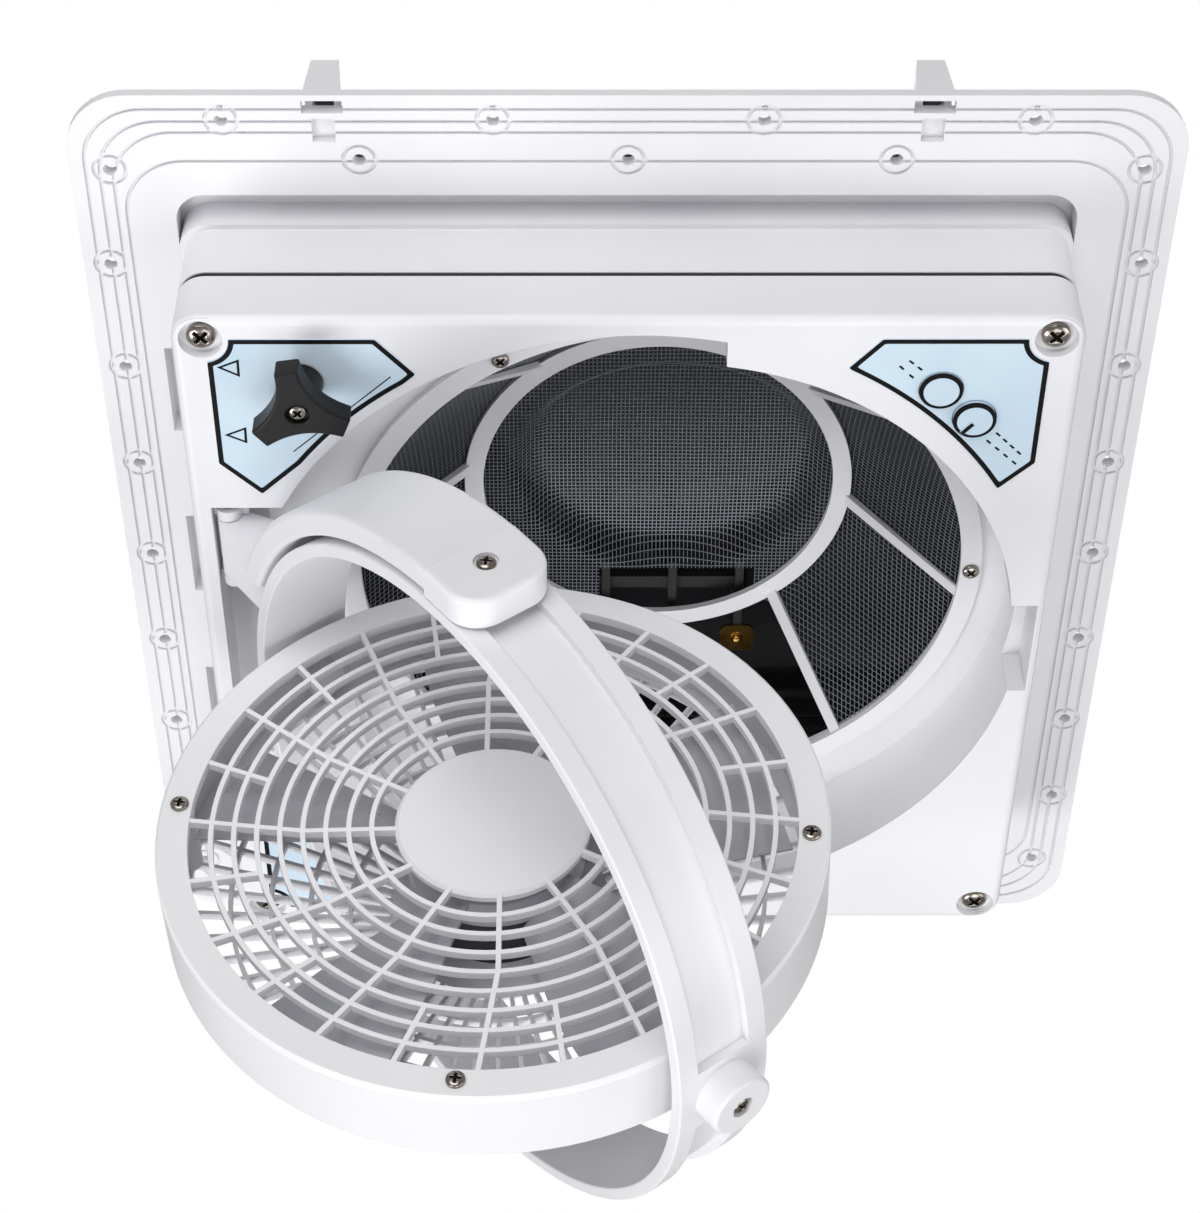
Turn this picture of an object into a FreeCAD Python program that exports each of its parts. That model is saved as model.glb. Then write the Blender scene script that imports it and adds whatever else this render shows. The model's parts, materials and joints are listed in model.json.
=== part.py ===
import FreeCAD, Part
import math
import os

V = FreeCAD.Vector
X_AXIS = V(1, 0, 0)
Y_AXIS = V(0, 1, 0)
Z_AXIS = V(0, 0, 1)

# The frame: the origin is the centre of the flange's underside, which lies on the roof.
# +Z points to the sky, -Z into the cabin, -Y to the lid's hinge.

# Clearances
running_gap = 0.05
slide_gap = 0.3
face_gap = 0.5

# Throat housing, seal and bezel: the square box that hangs into the cabin
box_half = 176.0
box_wall = 4.0
box_corner_r = 12.0
collar_over = 2.0
collar_bottom = -3.0
housing_bottom = -31.5
seal_thick = 2.5
seal_inset = 0.5
seal_wide = 3.0
bezel_face = -60.7
bezel_wall = 3.0
bezel_edge_r = 4.0
corner_screw_x = box_half - 11.7
corner_screw_y = box_half - 10.5
screw_well_r = 8.5
screw_well_deep = 4.0
screw_boss_r = 6.0

# Roof flange and its curb, set out from the box
moat_gap = 14.0
moat_half = box_half + moat_gap
moat_height = 12.0
moat_corner_r = 12.0
moat_roof = 3.5
curb_half = box_half - box_wall
curb_wall = 4.0
curb_top = 46.0
curb_corner_r = 30.0
border_side = 27.4
border_ends = 46.0
flange_half_x = moat_half + border_side
flange_half_y = moat_half + border_ends
flange_thick = 5.5
flange_corner_r = 25.0
flange_edge_r = 2.0
rim_hole_r = 2.6
rim_boss_r = 7.0
groove_wide = 1.4
groove_deep = 1.2
rim_row_x = flange_half_x - 10.7
rim_row_y = flange_half_y - 11.2
inner_row_y = flange_half_y - 29.4
inner_groove_x = flange_half_x - 19.3
groove_out = 5.5
groove_in = 5.0
corner_hole_x = flange_half_x - 15.4
corner_hole_y = flange_half_y - 34.0
row_end_gap = 45.19
rim_hole_pitch = (corner_hole_x - row_end_gap) / 3
vent_slot_wide = 9.0
vent_slot_long = 44.0
vent_slot_pitch = 92.0

# Fan recess in the bezel
recess_x = 5.0
recess_y = -5.0
recess_r = box_half - 13.5
recess_ceiling = -17.0
tab_x = 38.0
tab_gap = 7.7
boss_notch_half = 25.0
boss_notch_reach = box_half - 3.5
hinge_pocket_left = -(box_half - 8.0)
hinge_pocket_near = -80.0
hinge_pocket_far = 62.0
hinge_pocket_ceiling = -38.0

# Insect screen and its white frame
screen_x = 16.0
screen_y = -7.6
screen_r_out = recess_r - 23.8
screen_r_ledge = screen_r_out - 9.1
screen_hub_out = screen_r_out - 52.2
screen_hub_in = screen_hub_out - 8.3
screen_hub_z = 40.0
screen_bar = 3.0
screen_spokes = 8
screen_spoke_wide = 5.0
screen_spoke_turn = 6.0
window_spoke = 1
screen_screw_r = screen_r_out - 4.5
mesh_thick = 0.8
mesh_tuck = 0.7
mesh_drop = 0.5
mesh_lift = 1.0

# Lid, its hinge and its gasket
lid_half = curb_half + 12.0
lid_wall = 2.5
lid_bottom = 20.0
lid_top = 74.0
lid_crown_r = 34.0
lid_corner_r = 42.0
gasket_high = 4.0
gasket_wide = 8.0
lid_hinge_y = -(flange_half_y - 10.0)
lid_hinge_z = 17.0
lid_hinge_x = 117.6
lid_pin_r = 2.5
lug_half = 7.6
lug_tip_half = 5.4
lug_slot_half = 8.0
ear_half = 3.8
lug_wall = 2.6
lug_top = 24.8
lug_depth = 18.0
ear_barrel_r = 5.0
stiffener_x = 24.0
stiffener_y = 61.0
stiffener_long = 69.0
stiffener_low = 47.0
fin_half = 2.0
fin_near = 15.0
fin_far = 12.0
fin_drop = 3.0
long_fin_far = 40.0
tie_y = stiffener_y + 32.0
tie_thick = 1.6
tie_rivet_r = 2.8
tie_half_x = 8.0
tie_half_y = 8.0
tie_corner_r = 4.0

# Lid lift: knob, worm, wheel, arm and slotted rail
knob_x = -(box_half - 49.0)
knob_y = -(box_half - 30.5)
knob_lobe_r = 20.0
knob_waist_r = 8.0
knob_lobe_tip_r = 5.0
knob_thick = 9.5
knob_hub_r = 8.5
knob_hub_high = 11.5
knob_recess_deep = 2.5
worm_shaft_r = 3.5
worm_r = 7.0
worm_long = 30.0
wheel_r = 15.7
wheel_teeth = 20
wheel_wide = 8.0
tooth_deep = 2.0
wheel_hub_r = 7.0
lift_line_rise = 0.171
lift_axle_r = 3.0
lift_arm_thick = 4.0
lift_arm_half = 7.0
lift_arm_gap = 3.0
lift_pin_r = 3.5
lid_open = 60.0
bracket_thick = 3.0
bracket_inset = 20.0

# Swing arm, its hinge and the gimbal ring, laid flat in the recess
stow_x = 4.6
stow_y = -6.0
stow_z = -44.0
rest_swing = 53.0
rest_tilt = 88.0
hinge_x = -(box_half - 14.5)
hinge_z = -56.0
hinge_pin_r = 2.5
knuckle_r = 5.0
knuckle_near = -72.0
knuckle_far = -42.0
cheek_wide = 5.0
gusset_high = 19.0
gusset_root = 6.0
gusset_reach = 8.0
gusset_lean = 4.0
gusset_heel = 2.0
gusset_trim = 0.6
ring_r = recess_r - 21.3
ring_wide = 40.4
ring_thick = 5.5
ring_web = 2.0
ring_lip = 8.5
ring_edge_r = 0.8
arm_gap = 2.8
arm_thick = 11.0
arm_edge_r = 2.5
arm_start = 202.0
pad_back = 10.0
pad_end = 17.5
pad_round_r = 13.0
pad_recess_r = 4.7
pad_recess_deep = 1.5
stud_r = 3.2
pivot_boss_r = 13.0
pivot_pad_half = 16.0
pivot_boss_high = 11.0
pivot_recess_r = 4.6
pivot_recess_deep = 2.2
trunnion_r = 4.0
pivot_screw_long = 9.5
trunnion_flange_r = 9.0

# Fan head
fan_r = ring_r - 11.0
fan_wall = 3.0
fan_front = 20.6
fan_deep = 34.3
grille_rim_in = fan_r - 12.4
grille_rim_thick = 3.0
grille_lip = 4.5
grille_bar = 2.0
grille_bar_deep = 3.8
grille_rings = 8
grille_hub_r = 38.0
grille_hub_thick = 2.5
long_spokes = 12
spoke_hub_turn = 2.0
spoke_rim_turn = 8.5
short_spoke_from = 6
grille_screw_turn = 42.0
grille_screw_inset = 7.5
grille_screw_long = 10.0
rear_rim_in = fan_r - 9.2
rear_rim_thick = 3.0
rear_bevel = 6.0
rear_hub_r = 44.0
rear_rise = 19.0
rear_slats = 60
rear_slat_wide = 1.6
rear_slat_deep = 4.0
rear_rings = 4
motor_r = 29.0
motor_long = 32.0
motor_plate = 4.0
shaft_r = 3.0
blade_count = 5
blade_tip_r = fan_r - 18.2
blade_hub_r = 35.0
blade_hub_long = 16.0
blade_thick = 2.2
blade_lift = 4.5
blade_root_chord = 46.0
blade_tip_chord = 68.0
blade_root_pitch = 34.0
blade_tip_pitch = 16.0
rotor_front_gap = 2.5

# Control panel: labels, push button and speed dial
label_thick = 0.5
label_margin = 4.5
label_near = 0.943 * box_half
label_side = 0.923 * box_half
label_short = 0.554 * box_half
label_long = 0.591 * box_half
label_cut = 0.091 * box_half
label_tip_run = 0.085 * box_half
label_tip_drop = 0.097 * box_half
control_x = 0.692 * box_half
control_y = -0.803 * box_half
dial_x = 0.773 * box_half
dial_y = -0.723 * box_half
dial_turn = 40.0
control_r = 8.5
control_hole_gap = 0.4
button_proud = 1.6
dial_proud = 2.4
button_travel = 1.2
switch_side = 12.0
switch_high = 9.0
board_thick = 1.6
board_long = 50.0
board_wide = 20.0

# Cross-head screws
screw_head_r = 5.6
screw_head_high = 3.0
screw_shank_r = 2.1
small_head_r = 3.6
small_head_high = 2.0
small_shank_r = 1.5

# Sizes that follow from those above
seal_top = housing_bottom
bezel_top = housing_bottom - seal_thick
recess_outer_r = recess_r + bezel_wall
moat_top = moat_height + moat_roof
ring_half = ring_wide / 2
ring_in = ring_r - ring_thick
ring_floor_r = ring_in + ring_web
arm_in = ring_r + arm_gap
arm_out = arm_in + arm_thick
pad_in = ring_r + face_gap * 2
pad_out = arm_out
pivot_out = ring_r + pivot_boss_high
fan_in = fan_r - fan_wall
drum_front = -fan_front + grille_rim_thick
drum_rear = -fan_front + fan_deep
gasket_top = curb_top + gasket_high
lid_pin_half = lug_half - (lug_half - lug_tip_half) * (lid_hinge_z + lid_pin_r) / lug_top
wheel_axle_y = knob_y + worm_r + wheel_r + slide_gap
lift_length = math.hypot(1, lift_line_rise) * (wheel_axle_y - lid_hinge_y)
lift_angle = math.degrees(math.atan(lift_line_rise))
wheel_axle_z = lid_hinge_z + lift_line_rise * (wheel_axle_y - lid_hinge_y)
stow = V(stow_x, stow_y, stow_z)
hinge_point = V(hinge_x, 0, hinge_z)


def slab(half_x, half_y, corner_r, low, high, x=0.0, y=0.0):
    """A rounded rectangle between two heights."""
    body = Part.makeBox(2 * half_x, 2 * half_y, high - low, V(x - half_x, y - half_y, low))
    upright = [e for e in body.Edges if abs(e.tangentAt(e.FirstParameter).z) > 0.9]
    return body.makeFillet(corner_r, upright)


def disc(x, y, radius, low, high):
    return Part.makeCylinder(radius, high - low, V(x, y, low))


def rod(start, end, radius):
    return Part.makeCylinder(radius, (end - start).Length, start, end - start)


def block(low, high):
    return Part.makeBox(high[0] - low[0], high[1] - low[1], high[2] - low[2], V(*low))


def turned(points):
    """A closed (radius, height) outline turned about Z."""
    wire = Part.makePolygon([V(r, 0, z) for r, z in points + points[:1]])
    return Part.Face(wire).revolve(V(0, 0, 0), Z_AXIS, 360)


def plate_yz(points, low, high):
    wire = Part.makePolygon([V(low, y, z) for y, z in points + points[:1]])
    return Part.Face(wire).extrude(V(high - low, 0, 0))


def plate_xz(points, low, high):
    wire = Part.makePolygon([V(x, low, z) for x, z in points + points[:1]])
    return Part.Face(wire).extrude(V(0, high - low, 0))


def plate_xy(points, low, high):
    wire = Part.makePolygon([V(x, y, low) for x, y in points + points[:1]])
    return Part.Face(wire).extrude(V(0, 0, high - low))


def joined(shapes):
    return shapes[0].multiFuse(shapes[1:]).removeSplitter()


def turned_about(shape, base, axis, angle):
    copy = shape.copy()
    copy.rotate(base, axis, angle)
    return copy


def moved(shape, offset):
    copy = shape.copy()
    copy.translate(offset)
    return copy


def cross_screw(head_r, head_high, shank_r, shank_long):
    """A domed screw whose head points to -Z and whose seat is at the origin."""
    dome = head_high * 0.45
    head = turned([
        (0, -head_high), (head_r * 0.55, -head_high), (head_r * 0.88, -head_high + dome * 0.5),
        (head_r, -head_high + dome), (head_r, 0), (shank_r, 0), (shank_r, shank_long), (0, shank_long),
    ])
    arm = head_r * 0.62
    slot = head_r * 0.14
    deep = head_high * 0.55
    for turn in (45, 135):
        cut = block((-arm, -slot, -head_high - 1), (arm, slot, -head_high + deep))
        head = head.cut(turned_about(cut, V(0, 0, 0), Z_AXIS, turn))
    return head


def swung(shape):
    """From the stowed place to the opened-out place of the arm."""
    return turned_about(shape, hinge_point, Y_AXIS, rest_swing)


def on_ring(shape):
    return swung(moved(shape, stow))


def on_fan(shape):
    """From the fan's own frame, face down, to its tilted place in the ring."""
    return on_ring(turned_about(shape, V(0, 0, 0), X_AXIS, -rest_tilt))


def at_both_pivots(make):
    right = make()
    left = turned_about(right, V(0, 0, 0), Z_AXIS, 180)
    return [right, left]


def rim_holes():
    """Places of the roof screws, in rows along the four sides and at the corners."""
    spots = []
    for side in (-1, 1):
        spots += [(k * rim_hole_pitch, side * rim_row_y) for k in (-3, -1, 1, 3)]
        spots += [(k * rim_hole_pitch, side * inner_row_y) for k in (-2, 0, 2)]
        spots += [(side * rim_row_x, k * rim_hole_pitch) for k in range(-3, 4)]
        spots += [(side * corner_hole_x, k * corner_hole_y) for k in (-1, 1)]
    return spots


def groove_frame(half_x, half_y, corner_r):
    outer = slab(half_x, half_y, corner_r, -1, groove_deep)
    inner = slab(half_x - groove_wide, half_y - groove_wide, corner_r - groove_wide, -2, groove_deep + 1)
    return outer.cut(inner)


def make_lug(x):
    """One hinge lug: a tapered front wall with two cheeks that hold the lid's pin."""
    front = lid_hinge_y - (flange_half_y + lid_hinge_y)
    wall = plate_xz(
        [(x - lug_half, 0), (x + lug_half, 0), (x + lug_tip_half, lug_top), (x - lug_tip_half, lug_top)],
        front, front + lug_wall)
    body = wall
    for side in (-1, 1):
        inner = x + side * (ear_half + slide_gap)
        cheek = plate_xz([(inner, 0), (x + side * lug_half, 0), (x + side * lug_tip_half, lug_top), (inner, lug_top)],
                         front, front + lug_depth)
        body = body.fuse(cheek)
    return body


def make_roof_flange():
    plate = slab(flange_half_x, flange_half_y, flange_corner_r, 0, flange_thick)
    top_edges = [e for e in plate.Edges if min(v.Z for v in e.Vertexes) > flange_thick - 0.1]
    plate = plate.makeFillet(flange_edge_r, top_edges)
    moat_side = box_half + collar_over + slide_gap
    step = slab(moat_side + moat_roof, moat_half + moat_roof, moat_corner_r, 0, moat_top)
    pocket_left = -moat_half
    pockets = []
    covers = []
    for row in (-1, 0, 1):
        near, far = row * vent_slot_pitch - vent_slot_long / 2, row * vent_slot_pitch + vent_slot_long / 2
        pockets.append(block((pocket_left, near, -1), (pocket_left + vent_slot_wide, far, moat_height)))
        covers.append(block((pocket_left - moat_roof, near - moat_roof, 0), (-moat_side, far + moat_roof, moat_top)))
    curb = slab(curb_half, curb_half, curb_corner_r, moat_height, curb_top)
    lugs = [make_lug(side * lid_hinge_x) for side in (-1, 1)]
    body = joined([plate, step, curb] + lugs + covers)
    body = body.cut(slab(moat_side, moat_half, moat_corner_r, -1, moat_height))
    throat = curb_half - curb_wall
    body = body.cut(slab(throat, throat, curb_corner_r - curb_wall, 0, curb_top + 1))
    cuts = pockets
    cuts += [groove_frame(rim_row_x - inset, rim_row_y - inset, flange_corner_r) for inset in (-groove_out, groove_in)]
    cuts.append(groove_frame(rim_row_x, rim_row_y, flange_corner_r))
    cuts.append(groove_frame(inner_groove_x, inner_row_y, flange_corner_r))
    for x, y in rim_holes():
        ring = disc(x, y, rim_boss_r, -1, groove_deep).cut(disc(x, y, rim_boss_r - groove_wide, -2, flange_thick))
        cuts.append(ring)
        cuts.append(disc(x, y, rim_hole_r, -1, flange_thick + 1))
    for side in (-1, 1):
        x = side * lid_hinge_x
        slot_near = -flange_half_y + lug_wall
        cuts.append(block((x - lug_slot_half, slot_near, -1), (x + lug_slot_half, slot_near + 5.5, flange_thick + 1)))
        pocket_near = slot_near + 8.0
        cuts.append(block((x - 4.4, pocket_near, -1), (x + 4.4, pocket_near + 10.5, flange_thick - 2)))
        pin = V(x - lug_half - 1, lid_hinge_y, lid_hinge_z)
        cuts.append(rod(pin, pin + V(2 * lug_half + 2, 0, 0), lid_pin_r))
    return body.cut(Part.makeCompound(cuts))


def make_throat_housing():
    collar_half = box_half + collar_over
    collar = slab(collar_half, collar_half, box_corner_r, collar_bottom, moat_height)
    walls = slab(box_half, box_half, box_corner_r, housing_bottom, moat_height)
    body = collar.fuse(walls).removeSplitter()
    inside = box_half - box_wall
    body = body.cut(slab(inside, inside, box_corner_r - box_wall, housing_bottom - 1, moat_height + 1))
    adds = []
    holes = []
    for x, y in corner_screws():
        adds.append(disc(x, y, screw_boss_r, housing_bottom, collar_bottom))
        wall_x, wall_y = math.copysign(box_half - 1, x), math.copysign(box_half - 1, y)
        web = box_wall / 2
        adds.append(block((min(x, wall_x), y - web, housing_bottom), (max(x, wall_x), y + web, collar_bottom)))
        adds.append(block((x - web, min(y, wall_y), housing_bottom), (x + web, max(y, wall_y), collar_bottom)))
        holes.append(disc(x, y, screw_shank_r + running_gap, housing_bottom - 1, collar_bottom - box_wall))
    return joined([body] + adds).cut(Part.makeCompound(holes))


def corner_screws():
    return [(sx * corner_screw_x, sy * corner_screw_y) for sx in (-1, 1) for sy in (-1, 1)]


def make_seal():
    outer = box_half - seal_inset
    inner = outer - seal_wide
    body = slab(outer, outer, box_corner_r, bezel_top, seal_top)
    body = body.cut(slab(inner, inner, box_corner_r - seal_wide, bezel_top - 1, seal_top + 1))
    return body.cut(Part.makeCompound([disc(x, y, screw_boss_r + face_gap, bezel_top - 1, seal_top + 1)
                                       for x, y in corner_screws()]))


def recess_plan(grow, low, high):
    """The plan of the recess: a circle cut back beside the tab, a boss notch and the hinge pocket's side."""
    round_part = disc(recess_x, recess_y, recess_r + grow, low, high)
    beside_tab = block((tab_x + grow, -2 * recess_r, low), (2 * recess_r, -boss_notch_half - grow, high))
    keep = disc(screen_x, screen_y, screen_r_out + tab_gap + grow, low, high)
    return round_part.cut(beside_tab.cut(keep))


def make_bezel():
    body = slab(box_half, box_half, box_corner_r, bezel_face, bezel_top)
    face_edges = [e for e in body.Edges if max(v.Z for v in e.Vertexes) < bezel_face + 0.1]
    body = body.makeFillet(bezel_edge_r, face_edges)
    inside = box_half - bezel_wall
    body = body.cut(slab(inside, inside, box_corner_r - bezel_wall, bezel_face + bezel_wall, bezel_top + 1))
    tub_top = recess_ceiling + bezel_wall
    adds = [recess_plan(bezel_wall, bezel_face + 1, tub_top)]
    notch_wall = boss_notch_half + bezel_wall
    adds.append(block((recess_x, -notch_wall, bezel_face + 1), (box_half - 1, notch_wall, hinge_pocket_ceiling + bezel_wall)))
    adds.append(block(
        (hinge_pocket_left - bezel_wall, hinge_pocket_near - bezel_wall, bezel_face + 1),
        (recess_x, hinge_pocket_far + bezel_wall, hinge_pocket_ceiling + bezel_wall)))
    for x, y in corner_screws():
        adds.append(disc(x, y, screw_well_r + bezel_wall / 2, bezel_face + 1, bezel_face + screw_well_deep + bezel_wall))
        adds.append(disc(x, y, screw_boss_r, bezel_face + 1, bezel_top + seal_thick))
    shell_limit = slab(box_half - 1, box_half - 1, box_corner_r - 1, bezel_face, tub_top)
    body = joined([body] + [a.common(shell_limit) for a in adds])
    cuts = [recess_plan(0, bezel_face - 1, recess_ceiling)]
    cuts.append(block((recess_x, -boss_notch_half, bezel_face - 1), (boss_notch_reach, boss_notch_half, hinge_pocket_ceiling)))
    cuts.append(block(
        (hinge_pocket_left, hinge_pocket_near, bezel_face - 1),
        (recess_x, hinge_pocket_far, hinge_pocket_ceiling)))
    cuts.append(disc(screen_x, screen_y, screen_r_ledge + 1, recess_ceiling - 1, tub_top + 1))
    for x, y in corner_screws():
        cuts.append(disc(x, y, screw_well_r, bezel_face - 1, bezel_face + screw_well_deep))
        cuts.append(disc(x, y, screw_shank_r + running_gap, bezel_face - 1, bezel_top + seal_thick + 1))
    for x, y in screen_screws():
        cuts.append(disc(x, y, small_shank_r + running_gap, recess_ceiling - 1, tub_top + 1))
    cuts.append(disc(knob_x, knob_y, worm_shaft_r + running_gap, bezel_face - 1, bezel_face + bezel_wall + 1))
    for x, y in ((control_x, control_y), (dial_x, dial_y)):
        cuts.append(disc(x, y, control_r + control_hole_gap, bezel_face - 1, bezel_face + bezel_wall + 1))
    return body.cut(Part.makeCompound(cuts))


def make_label(sign_x, sign_y):
    """A thin corner panel with a hollow edge along the recess and a notch round the corner screw."""
    outline = [
        (label_short, -label_near), (label_side, -label_near), (label_side, -label_long),
        (label_side - label_cut, -label_long + label_cut), (label_short - label_tip_run, -label_near + label_tip_drop),
    ]
    panel = plate_xy([(sign_x * x, -sign_y * y) for x, y in outline], bezel_face - label_thick, bezel_face)
    low = bezel_face - 2 * label_thick
    cuts = [disc(recess_x, recess_y, recess_r + label_margin, low, bezel_face + 1)]
    cuts.append(disc(sign_x * corner_screw_x, sign_y * corner_screw_y, screw_well_r + 2, low, bezel_face + 1))
    return panel.cut(Part.makeCompound(cuts))


def make_labels():
    left = make_label(-1, -1).cut(disc(knob_x, knob_y, knob_hub_r + face_gap, bezel_face - 1, bezel_face))
    right = make_label(1, -1)
    for x, y in ((control_x, control_y), (dial_x, dial_y)):
        right = right.cut(disc(x, y, control_r + control_hole_gap, bezel_face - 1, bezel_face))
    return left, right, make_label(-1, 1)


def screen_screws():
    turns = [math.radians(a) for a in (0, 120, 240)]
    return [(screen_x + screen_screw_r * math.cos(t), screen_y + screen_screw_r * math.sin(t)) for t in turns]


def make_screen_frame():
    """An outer ring under the ledge and a raised hub ring, with sloping spokes between them."""
    low = recess_ceiling - screen_bar
    outer = turned([(screen_r_ledge, low), (screen_r_out, low), (screen_r_out, recess_ceiling),
                    (screen_r_ledge, recess_ceiling)])
    hub_low = screen_hub_z - screen_bar
    hub = turned([(screen_hub_in, hub_low), (screen_hub_out, hub_low), (screen_hub_out, screen_hub_z),
                  (screen_hub_in, screen_hub_z)])
    slope = [(screen_r_ledge + 1, low), (screen_r_ledge + mesh_tuck - mesh_drop, recess_ceiling),
             (screen_hub_out - mesh_drop, screen_hub_z), (screen_hub_out - 2, hub_low)]
    spoke = plate_xz(slope, -screen_spoke_wide / 2, screen_spoke_wide / 2)
    step = 360 / screen_spokes
    spokes = [turned_about(spoke, V(0, 0, 0), Z_AXIS, screen_spoke_turn + k * step) for k in range(screen_spokes)]
    body = moved(joined([outer, hub] + spokes), V(screen_x, screen_y, 0))
    holes = [disc(x, y, small_shank_r + running_gap, low - 1, recess_ceiling + 1) for x, y in screen_screws()]
    return body.cut(Part.makeCompound(holes))


def make_insect_screen():
    """A sheet over the hub disc and down the cone, trimmed above the recess and open between two of the spokes."""
    foot = screen_r_ledge + mesh_tuck
    body = turned([
        (0, screen_hub_z), (screen_hub_out, screen_hub_z), (foot, recess_ceiling),
        (foot, recess_ceiling + mesh_thick * 1.6), (screen_hub_out + mesh_thick * 0.6, screen_hub_z + mesh_thick),
        (0, screen_hub_z + mesh_thick),
    ])
    far = 2 * screen_r_out
    body = body.cut(disc(0, 0, far, recess_ceiling - 1, recess_ceiling + mesh_lift))
    step = 360 / screen_spokes
    edges = [math.radians(screen_spoke_turn + (window_spoke + k) * step) for k in (0, 1)]
    window = plate_xy([(0, 0)] + [(far * math.cos(t), far * math.sin(t)) for t in edges],
                      recess_ceiling - 1, screen_hub_z + 2 * mesh_thick)
    window = window.cut(disc(0, 0, screen_hub_out - mesh_tuck, recess_ceiling - 2, screen_hub_z + 3 * mesh_thick))
    return moved(body.cut(window), V(screen_x, screen_y, 0))


def make_lid_dome():
    """A square dome with a rolled crown, a sealing rib inside and two hinge ears."""
    def crown(half, low, high, corner_r, crown_r):
        body = slab(half, half, corner_r, low, high)
        top = [e for e in body.Edges if min(v.Z for v in e.Vertexes) > high - 0.1]
        return body.makeFillet(crown_r, top)
    outer = crown(lid_half, lid_bottom, lid_top, lid_corner_r, lid_crown_r)
    inner = crown(lid_half - lid_wall, lid_bottom - 1, lid_top - lid_wall, lid_corner_r - lid_wall,
                  lid_crown_r - lid_wall)
    shell = outer.cut(inner)
    rib_half = curb_half - 1
    rib = slab(rib_half, rib_half, curb_corner_r, gasket_top + slide_gap, lid_top)
    rib = rib.cut(slab(rib_half - 2, rib_half - 2, curb_corner_r - 2, gasket_top - 1, lid_top + 1)).common(outer)
    adds = [rib]
    for side in (-1, 1):
        x = side * lid_hinge_x
        half = ear_half - slide_gap
        reach = -lid_half + lid_wall
        adds.append(block((x - half, lid_hinge_y, lid_hinge_z), (x + half, reach, lid_bottom + 8)))
        barrel = V(x - half, lid_hinge_y, lid_hinge_z)
        adds.append(rod(barrel, barrel + V(2 * half, 0, 0), ear_barrel_r))
    body = joined([shell] + adds)
    bores = []
    for side in (-1, 1):
        start = V(side * lid_hinge_x - lug_half, lid_hinge_y, lid_hinge_z)
        bores.append(rod(start, start + V(2 * lug_half, 0, 0), lid_pin_r + running_gap))
        above = lid_hinge_z + ear_barrel_r
        bores.append(block((start.x, lid_hinge_y - 20, above), (start.x + 2 * lug_half, lid_hinge_y + 4, above + 20)))
    return body.cut(Part.makeCompound(bores))


def make_lid_pins():
    pins = []
    for side in (-1, 1):
        start = V(side * lid_hinge_x - lid_pin_half, lid_hinge_y, lid_hinge_z)
        pins.append(rod(start, start + V(2 * lid_pin_half, 0, 0), lid_pin_r))
    return Part.makeCompound(pins)


def make_lid_gasket():
    outer = curb_half + (gasket_wide - curb_wall) / 2
    body = slab(outer, outer, curb_corner_r, curb_top, gasket_top)
    inner = outer - gasket_wide
    return body.cut(slab(inner, inner, curb_corner_r - gasket_wide / 2, curb_top - 1, gasket_top + 1))


def lift_point(reach):
    """A point of the slot's line at a distance from the lid's hinge, lid closed."""
    turn = math.radians(lift_angle)
    return lid_hinge_y + reach * math.cos(turn), lid_hinge_z + reach * math.sin(turn)


arm_plane = knob_x + worm_r + lift_arm_gap
rail_plane = arm_plane + lift_arm_thick + 2.0


def make_lid_rail():
    """A plate under the lid whose slot the lift arm's pin slides in."""
    near = 2 * lift_length * math.cos(math.radians(lid_open)) - lift_pin_r - 6
    far = 2 * lift_length + lift_pin_r + 6
    (y0, z0), (y1, z1) = lift_point(near), lift_point(far)
    drop = lift_pin_r + 5
    top = lid_top - lid_wall
    plate = plate_yz([(y0, z0 - drop), (y1, z1 - drop), (y1, top), (y0, top)],
                     rail_plane, rail_plane + lift_arm_thick)
    slot_r = lift_pin_r + slide_gap
    a, b = lift_point(near + 6 + lift_pin_r - 1), lift_point(far - 6 - lift_pin_r + 1)
    slot = []
    for y, z in (a, b):
        start = V(rail_plane - 1, y, z)
        slot.append(rod(start, start + V(lift_arm_thick + 2, 0, 0), slot_r))
    rise = slot_r * math.hypot(1, lift_line_rise)
    slot.append(plate_yz([(a[0], a[1] - rise), (b[0], b[1] - rise), (b[0], b[1] + rise), (a[0], a[1] + rise)],
                         rail_plane - 1, rail_plane + lift_arm_thick + 1))
    return plate.cut(joined(slot))


def make_lift_arm():
    tip_y, tip_z = lift_point(2 * lift_length)
    low, high = arm_plane, arm_plane + lift_arm_thick
    dy, dz = (tip_y - wheel_axle_y) / lift_length, (tip_z - wheel_axle_z) / lift_length
    side_y, side_z = -dz * lift_arm_half, dy * lift_arm_half
    strip = plate_yz([
        (wheel_axle_y - side_y, wheel_axle_z - side_z), (tip_y - side_y, tip_z - side_z),
        (tip_y + side_y, tip_z + side_z), (wheel_axle_y + side_y, wheel_axle_z + side_z)], low, high)
    ends = [rod(V(low, y, z), V(high, y, z), lift_arm_half)
            for y, z in ((wheel_axle_y, wheel_axle_z), (tip_y, tip_z))]
    body = joined([strip] + ends)
    body = body.cut(rod(V(low - 1, wheel_axle_y, wheel_axle_z), V(high + 1, wheel_axle_y, wheel_axle_z),
                        lift_axle_r + running_gap))
    return body.cut(rod(V(low - 1, tip_y, tip_z), V(high + 1, tip_y, tip_z), lift_pin_r))


def make_lift_pin():
    tip_y, tip_z = lift_point(2 * lift_length)
    end = rail_plane + lift_arm_thick + 1.5
    return rod(V(arm_plane, tip_y, tip_z), V(end, tip_y, tip_z), lift_pin_r)


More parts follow.
